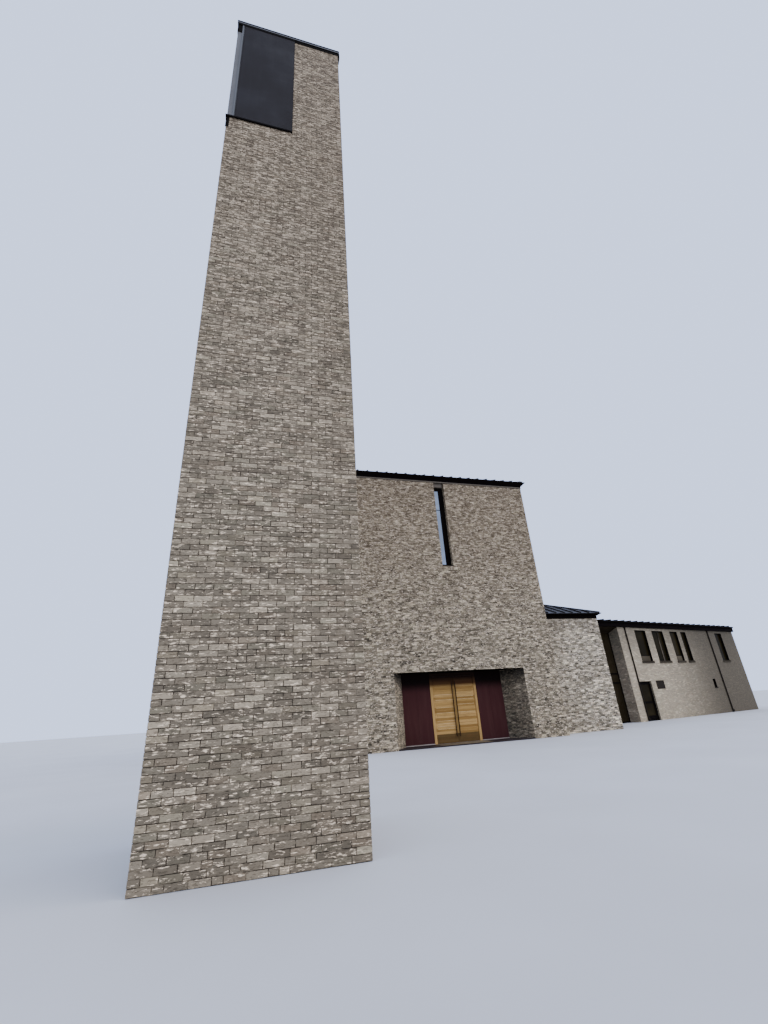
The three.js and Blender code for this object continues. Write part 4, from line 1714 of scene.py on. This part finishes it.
@dataclass(frozen=True)
class WingDoor:
    """The glazed door leaf of the wing, with its rails, panes and pull."""

    left: float = 0.899
    right: float = 2.021
    low: float = 0.062
    high: float = 2.262
    deep: Pair = (0.1195, 0.1705)
    glass: Pair = (0.139, 0.151)
    stile: float = 0.11
    lap: float = 0.01
    rails: tuple[Pair, ...] = ((0.062, 0.302), (1.02, 1.13), (2.142, 2.262))
    grip: Pair = (0.85, 1.35)
    stays: Pair = (0.9, 1.28)

    def build(self) -> None:
        """Fits the rails, the pull and the panes."""
        leaf, panes = Work(WING_SETTING), Work(WING_SETTING)
        inner = leaf.rim((self.left, self.right), self.deep, (self.low, self.high), self.stile, False, False)
        for rail in self.rails:
            leaf.block(inner, self.deep, rail)
        pull, out = self.right - 0.06, 0.085
        low, high = self.grip
        leaf.bar((pull, out, low), (pull, out, high), 0.024, 0.022, (0.0, 1.0, 0.0))
        for z in self.stays:
            leaf.bar((pull, 0.1, z), (pull, self.deep[0], z), 0.02, 0.02)
        leaf.piece(
            "wing_door_rails", Finish.BLACK_TRIM, Slot.DARK_METAL, Body.WING_DOOR, ("wing_door_leaf",),
            WORN_EDGE)
        glazed = (inner[0] - self.lap, inner[1] + self.lap)
        for below, above in zip(self.rails, self.rails[1:]):
            panes.block(glazed, self.glass, (below[1] - self.lap, above[0] + self.lap))
        panes.piece("wing_door_panes", Finish.WINDOW_GLASS, Slot.GLASS, Body.WING_DOOR)


@dataclass(frozen=True)
class Wing:
    """The two-storey wing, with windows, door, downpipes, plaque and low roof."""

    length: float = 14.57
    depth: float = 7.0
    top: float = 5.75
    sill: float = 3.47
    head: float = 5.59
    windows: tuple[Pair, ...] = ((1.765, 2.97), (3.7, 5.01), (5.84, 6.75), (7.215, 7.87), (11.87, 12.81))
    hazed: tuple[int, int] = (0, 2)
    mullion: float = 4.5
    rail: float = 3.94
    set_back: float = 0.1
    lining: float = 0.099
    small: Hole = Hole(9.52, 9.85, 1.72, 2.29)
    door: Hole = Hole(0.83, 2.09, -1.0, 2.33)
    link_top: Hole = Hole(17.45, 18.0, 5.59, 6.0)
    gable: float = 0.755
    back_length: float = 17.718
    pipes: Pair = (0.74, 10.82)

    def build(self) -> None:
        """Lays the bricks, fits every part and dresses the nodes."""
        self.lay_bricks()
        for name, wall in (("front", Wall(0.0)), ("back", Wall(self.depth, -1.0))):
            self.fit_windows(name, wall)
        self.fit_small_window()
        WingDoor().build()
        self.fit_pipes()
        self.fit_plaque()
        WingRoof(self.length, self.depth).build()
        dress(Finish.WING_MORTAR, *(f"wing_front_wall_{part}" for part in ("left", "lower", "upper")))
        dress(Finish.WING_MORTAR, *(f"wing_{side}_wall" for side in SIDES[1:]))
        dress(Finish.CONCRETE, "wing_ground_floor", "wing_upper_floor")
        dress(Finish.EAVES_SHEET, "wing_roof")
        dress(Finish.PIPE_SHEET, "wing_downpipe_left", "wing_downpipe_right")
        dress(Finish.BLACK_TRIM, "wing_door_frame")
        dress(Finish.PLAQUE_SHEET, "wing_plaque")

    def lay_bricks(self) -> None:
        """Lays front, right gable, the short left gable, and back."""
        top, length = self.top, self.length
        front = tuple(Hole(near, far, self.sill, self.head) for near, far in self.windows)
        back = tuple(Hole(length - far, length - near, self.sill, self.head) for near, far in self.windows)
        for name, finish, side, seed, holes, laps in (
            ("front", Finish.WING_FRONT_BRICK, (0.0, 0.0, 0.0, length), 71, (*front, self.door, self.small),
             Facing.LAPPED),
            ("right", Finish.WING_FRONT_BRICK, (length, 0.0, 90.0, self.depth), 73, (), Facing.BARE),
            ("left", Finish.GABLE_BRICK, (0.0, self.gable, 270.0, self.gable), 77, (), Facing.BARE),
            ("back", Finish.WING_BRICK, (length, self.depth, 180.0, self.back_length), 79,
             (*back, self.link_top), (Facing.LAP, 0.0)),
        ):
            facing = Facing(*side, top, seed, holes, laps, header_first=name in ("right", "left"))
            Bond().lay(f"wing_bricks_{name}", WING_SETTING, finish, facing)

    def fit_windows(self, name: str, wall: Wall) -> None:
        """Fits the upper windows of a long side, with their projecting sills.

        Args:
            name: Which side it is.
            wall: Its wall.
        """
        bar, nose, high, half = 0.05, 0.075, 0.105, 0.03
        plane = Wall(wall.face + wall.inward * self.set_back, wall.inward)
        frames, panes, sills, low_panes, mullion = (Work(WING_SETTING) for _ in range(5))
        for i, (near, far) in enumerate(self.windows):
            rails = (self.rail,) if i in self.hazed else ()
            window = Window(near, far, self.sill, self.head, plane, bar, bar, rails)
            window.frame(frames)
            wall.line(frames, Hole(near, far, self.sill + 0.026, self.head), self.lining)
            window.pane(panes)
            foot, top = self.sill + bar, self.sill + high
            if rails:
                z = (foot, self.rail - bar * Window.RAIL)
                low_panes.block((near + bar, far - bar), plane.across(0.012, 0.02), z)
            if near < self.mullion < far:
                deep = plane.across(-0.004, bar - 0.004)
                mullion.block((self.mullion - half, self.mullion + half), deep, (foot, self.head - bar))
            sills.block((near, far), wall.across(-nose, self.set_back), (self.sill, top))
            sills.block((near - 0.04, far + 0.05), wall.across(-nose, -0.012), (self.sill - 0.035, top))
        start = f"wing_{name}_window"
        frames.piece(f"{start}_frames", Finish.BLACK_TRIM, Slot.DARK_METAL, bevel=WORN_EDGE)
        panes.piece(f"{start}_panes", Finish.WINDOW_GLASS, Slot.GLASS, replaces=(f"{start}s",))
        low_panes.piece(f"{start}_low_panes", Finish.HAZED_GLASS, Slot.GLASS)
        mullion.piece(f"{start}_mullion", Finish.MULLION_SHEET, Slot.DARK_METAL, bevel=WORN_EDGE)
        sills.piece(f"{start}_sills", Finish.SILL_STONE, Slot.CONCRETE, bevel=ROUND_EDGE)

    def fit_small_window(self) -> None:
        """Fits the small lower window."""
        near, far, low, high = self.small.start, self.small.end, self.small.low, self.small.high
        start, top, nose = "wing_small_window", low + 0.012, -0.06
        window = Window(near, far, low, high, Wall(self.set_back), 0.035)
        bars, pane = Work(WING_SETTING), Work(WING_SETTING)
        window.frame(bars)
        Wall(0.0).line(bars, Hole(near, far, top + HAIR, high), self.lining)
        bars.block((near - 0.03, far + 0.03), (nose, -0.012), (low - 0.04, top))
        bars.block((near, far), (nose, self.set_back), (low, top))
        bars.piece(f"{start}_frame", Finish.BLACK_TRIM, Slot.DARK_METAL, bevel=WORN_EDGE)
        window.pane(pane)
        pane.piece(f"{start}_pane", Finish.WINDOW_GLASS, Slot.GLASS, replaces=(start,))

    def fit_pipes(self) -> None:
        """Fits the brackets, collars and shoes of the downpipes."""
        radius, out, sides = 0.045, -0.0453, 24
        brackets, collar, shoe_top = (0.55, 2.1, 3.65, 5.2), (5.62, 5.748), 0.32
        fittings = Work(WING_SETTING)
        for at in self.pipes:
            for z in brackets:
                fittings.tube(((at, out, z), (at, out, z + 0.05)), radius + 0.007, sides)
                fittings.block((at - 0.075, at + 0.075), (-0.02, -HAIR), (z + 0.008, z + 0.042))
            fittings.tube([(at, out, z) for z in collar], radius + 0.012, sides)
            bend = [(at, out - 0.012 * k * k, 0.2 - 0.03 * k) for k in range(4)]
            fittings.tube(((at, out, shoe_top), *bend), radius + 0.005, 20)
        fittings.piece("wing_downpipe_fittings", Finish.PIPE_SHEET, Slot.DARK_METAL)

    def fit_plaque(self) -> None:
        """Fits the raised border and four screw caps of the bare plaque."""
        (x0, x1), (z0, z1) = x, z = (2.61, 3.45), (1.83, 2.345)
        face, lift, rim, inset, cap = -0.0303, 0.004, 0.018, 0.05, 0.009
        deep = (face - lift, face)
        border = Work(WING_SETTING)
        for level in ((z0, z0 + rim), (z1 - rim, z1)):
            border.block(x, deep, level)
        for across in ((x0, x0 + rim), (x1 - rim, x1)):
            border.block(across, deep, (z0 + rim, z1 - rim))
        for at in (x0 + inset, x1 - inset):
            for up in (z0 + inset, z1 - inset):
                border.block((at - cap, at + cap), deep, (up - cap, up + cap))
        border.piece("wing_plaque_border", Finish.PLAQUE_SHEET, Slot.DARK_METAL, bevel=0.0015)


@dataclass(frozen=True)
class WingRoof:
    """The wing's low roof: ribs, ridge cap, sheets and gutters."""

    length: float
    depth: float
    over: float = 0.12
    edge: float = 6.15
    ridge: float = 6.45
    start: float = -3.75
    annex_side: float = 9.285
    back_short: float = 1.2
    gutter: float = 0.1
    gutter_low: float = 6.03
    gutter_high: float = 6.12
    gutter_starts: Pair = (-4.3, -2.6)

    def build(self) -> None:
        """Fits ribs, sheets and gutters."""
        eaves = (-self.over, self.depth + self.over)
        run = self.depth / 2.0 + self.over
        self.fit_ribs(eaves, run)
        self.fit_sheets(eaves, run)
        self.fit_gutters(eaves)

    def fit_ribs(self, eaves: Pair, run: float) -> None:
        """Fits the ribs and the ridge cap.

        Args:
            eaves: Where the front and the back eave lie along y.
            run: How far a slope runs in plan.
        """
        start, end = self.start, self.length + self.over
        pitch, middle = (self.ridge - self.edge) / run, self.depth / 2.0
        ribs = Work(WING_SETTING)
        shorter = end - start - self.back_short
        for corner, y, heading, length in (
            (start, eaves[0], 0.0, end - start), (end, eaves[1], 180.0, shorter),
        ):
            slope = SeamedSlope(
                (corner, y, self.edge), heading, length, run, pitch, (False, False),
                spacing=0.7, width=0.05, height=0.075)
            slope.seams(ribs)
        ridge_cap(ribs, (start + 0.1, middle, self.ridge), (end - 0.005, middle, self.ridge))
        ribs.piece("wing_roof_ribs", Finish.ROOF_SHEET, Slot.ROOF_METAL)

    def annex_end(self, y: float) -> float:
        """Finds where the roof ends beside the annex, along the wing, at a depth behind its front."""
        angle = math.radians(WING_SETTING.turn)
        return (self.annex_side - WING_SETTING.x + math.sin(angle) * y) / math.cos(angle)

    def fit_sheets(self, eaves: Pair, run: float) -> None:
        """Fits the sheet of each slope.

        Args:
            eaves: Where the front and the back eave lie along y.
            run: How far a slope runs in plan.
        """
        inset, thick = 0.03, 0.004
        pitch, end = (self.ridge - self.edge) / run, self.length + self.over - inset
        sheets = Work(WING_SETTING)
        for eave, way in zip(eaves, (1.0, -1.0)):
            low, high = ((eave + way * up, self.edge + pitch * up) for up in (inset, run))
            ring = [
                (self.annex_end(low[0]) + inset, *low), (end, *low),
                (end, *high), (self.annex_end(high[0]) + inset, *high),
            ]
            sheets.add(ring + [(x, y, z + thick) for x, y, z in ring], Work.BOX_FACES, MIDDLE_TONE)
        sheets.piece("wing_roof_sheets", Finish.ROOF_SHEET, Slot.ROOF_METAL)

    def fit_gutters(self, eaves: Pair) -> None:
        """Fits the gutters with their ends and straps.

        Args:
            eaves: Where the front and the back eave lie along y.
        """
        sheet, thick, strap, step = 0.006, 0.012, 0.03, 0.9
        low, stop = self.gutter_low, self.length + self.over - 0.05
        sides = (low + thick, self.gutter_high)
        gutter = Work(WING_SETTING)
        for eave, way, begin in zip(eaves, (-1.0, 1.0), self.gutter_starts):
            fascia = Wall(eave, way)
            inner = fascia.across(HAIR, self.gutter)
            gutter.block((begin, stop), inner, (low, low + thick))
            gutter.block((begin, stop), fascia.across(self.gutter - sheet, self.gutter), sides)
            for x in (begin, stop - sheet):
                gutter.block((x, x + sheet), inner, sides)
            for x in np.arange(begin + 0.6, stop, step):
                gutter.block((x, x + strap), fascia.across(HAIR, self.gutter + 0.004), (low - 0.008, low))
        gutter.piece("wing_gutters", Finish.BLACK_TRIM, Slot.DARK_METAL)


@dataclass(frozen=True)
class Link:
    """The dark glazed link between annex and wing."""

    face: float = 0.755
    left: float = -4.69
    right: float = -0.001
    top: float = 5.58
    bays: int = 4
    rails: tuple[float, ...] = (0.0, 2.3, 2.85, 5.5)
    soffit: tuple[Pair, Pair, Pair] = ((-4.1, -0.012), (0.0, 0.703), (5.45, 5.748))

    def build(self) -> None:
        """Fits posts, rails and the sloping soffit, and dresses the nodes."""
        bars, soffit = Work(WING_SETTING), Work(WING_SETTING)
        half, rail, deep = 0.035, 0.08, 0.05
        for x in (self.left + i * (self.right - self.left) / self.bays for i in range(self.bays + 1)):
            wide = (max(x - half, self.left), min(x + half, self.right))
            bars.block(wide, (self.face - deep, self.face), (0.0, self.top))
        for z in self.rails:
            bars.block((self.left, self.right), (self.face - 0.04, self.face), (z, z + rail))
        bars.piece("link_screen_bars", Finish.BLACK_TRIM, Slot.DARK_METAL, bevel=WORN_EDGE)
        ends, (near, far), (low, high) = self.soffit
        corners = [(x, y, z) for x in ends for y, z in ((near, high), (far, high), (far, low))]
        wedge = ((0, 1, 2), (5, 4, 3), (0, 3, 4, 1), (1, 4, 5, 2), (2, 5, 3, 0))
        soffit.add(corners, wedge, MIDDLE_TONE)
        soffit.piece("link_soffit", Finish.PLAQUE_SHEET, Slot.DARK_METAL)
        dress(Finish.SCREEN_GLASS, "link_screen")
        dress(Finish.CONCRETE, "link_floor")


@dataclass(frozen=True)
class Studio:
    """Camera, pale floor and soft light."""

    eye: Triple = (-9.41, -21.92, 1.5)
    lens: float = 16.1467
    sensor: float = 36.0
    sight: float = 500.0
    pitch: float = 23.600756
    roll: float = -3.9145993
    turn: float = 73.36195
    sky: Colour = shade(192, 207, 244)
    sky_strength: float = 2.08
    sun: Colour = shade(255, 244, 226)
    sun_strength: float = 1.3
    sun_spread: float = 70.0
    sun_from: Triple = (0.62, -0.55, 0.75)
    floor_reach: float = 260.0
    floor_drop: float = -0.004
    floor_shades: Stops = ((0.3, shade(196, 195, 192)), (0.7, shade(204, 203, 200)))

    def build(self) -> None:
        """Sets up camera, floor and light."""
        self.place_camera()
        self.lay_floor()
        self.light()

    def aim(self) -> Matrix:
        """Works out how the camera is turned.

        Returns:
            The rotation, with the camera's own axes as columns.
        """
        pitch, roll, turn = (math.radians(a) for a in (self.pitch, self.roll, self.turn))
        (sin_p, sin_r, sin_t), (cos_p, cos_r, cos_t) = (
            [way(angle) for angle in (pitch, roll, turn)] for way in (math.sin, math.cos))
        base = Matrix(((sin_t, -cos_t, 0.0), (cos_t, sin_t, 0.0), (0.0, 0.0, 1.0)))
        tip = Matrix(((1.0, 0.0, 0.0), (0.0, sin_p, -cos_p), (0.0, cos_p, sin_p)))
        bank = Matrix(((cos_r, -sin_r, 0.0), (sin_r, cos_r, 0.0), (0.0, 0.0, 1.0)))
        rows = bank @ tip @ base
        return Matrix((rows[0], -rows[1], -rows[2])).transposed()

    def place_camera(self) -> None:
        """Puts the camera where the building is seen from."""
        lens = bpy.data.cameras.new("street_view")
        lens.lens = self.lens
        lens.sensor_width = self.sensor
        lens.clip_end = self.sight
        camera = bpy.data.objects.new("street_view", lens)
        camera.matrix_world = Matrix.Translation(self.eye) @ self.aim().to_4x4()
        bpy.context.scene.collection.objects.link(camera)
        bpy.context.scene.camera = camera

    def lay_floor(self) -> None:
        """Lays the pale studio floor just under the building."""
        mesh = bpy.data.meshes.new("studio_floor")
        reach = self.floor_reach
        corners = ((-reach, -reach), (reach, -reach), (reach, reach), (-reach, reach))
        mesh.from_pydata([(*corner, self.floor_drop) for corner in corners], [], [(0, 1, 2, 3)])
        paint = Paint("studio_floor")
        cloud = paint.noise(0.3, 4.0, 0.5)
        mesh.materials.append(paint.finish(paint.ramp(cloud, self.floor_shades), 0.9, 0.5))
        floor = bpy.data.objects.new("studio_floor", mesh)
        bpy.context.scene.collection.objects.link(floor)

    def light(self) -> None:
        """Lights the scene with a pale even sky and one wide soft lamp."""
        world = bpy.data.worlds.new("pale_sky")
        world.use_nodes = True
        sky = world.node_tree.nodes["Background"]
        sky.inputs["Color"].default_value = (*self.sky, 1.0)
        sky.inputs["Strength"].default_value = self.sky_strength
        bpy.context.scene.world = world
        lamp = bpy.data.lights.new("soft_sun", "SUN")
        lamp.color = self.sun
        lamp.energy = self.sun_strength
        lamp.angle = math.radians(self.sun_spread)
        sun = bpy.data.objects.new("soft_sun", lamp)
        sun.rotation_euler = Vector(self.sun_from).to_track_quat("Z", "Y").to_euler()
        bpy.context.scene.collection.objects.link(sun)


def main() -> None:
    """Builds the studio and every sub-assembly."""
    logging.basicConfig(level=logging.INFO, format="%(message)s")
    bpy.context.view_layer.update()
    Studio().build()
    for part in (Tower(), Nave(), Porch(), Annex(), Wing(), Link()):
        part.build()
        log.info("%s is built", type(part).__name__)


if __name__ == "__main__":
    main()
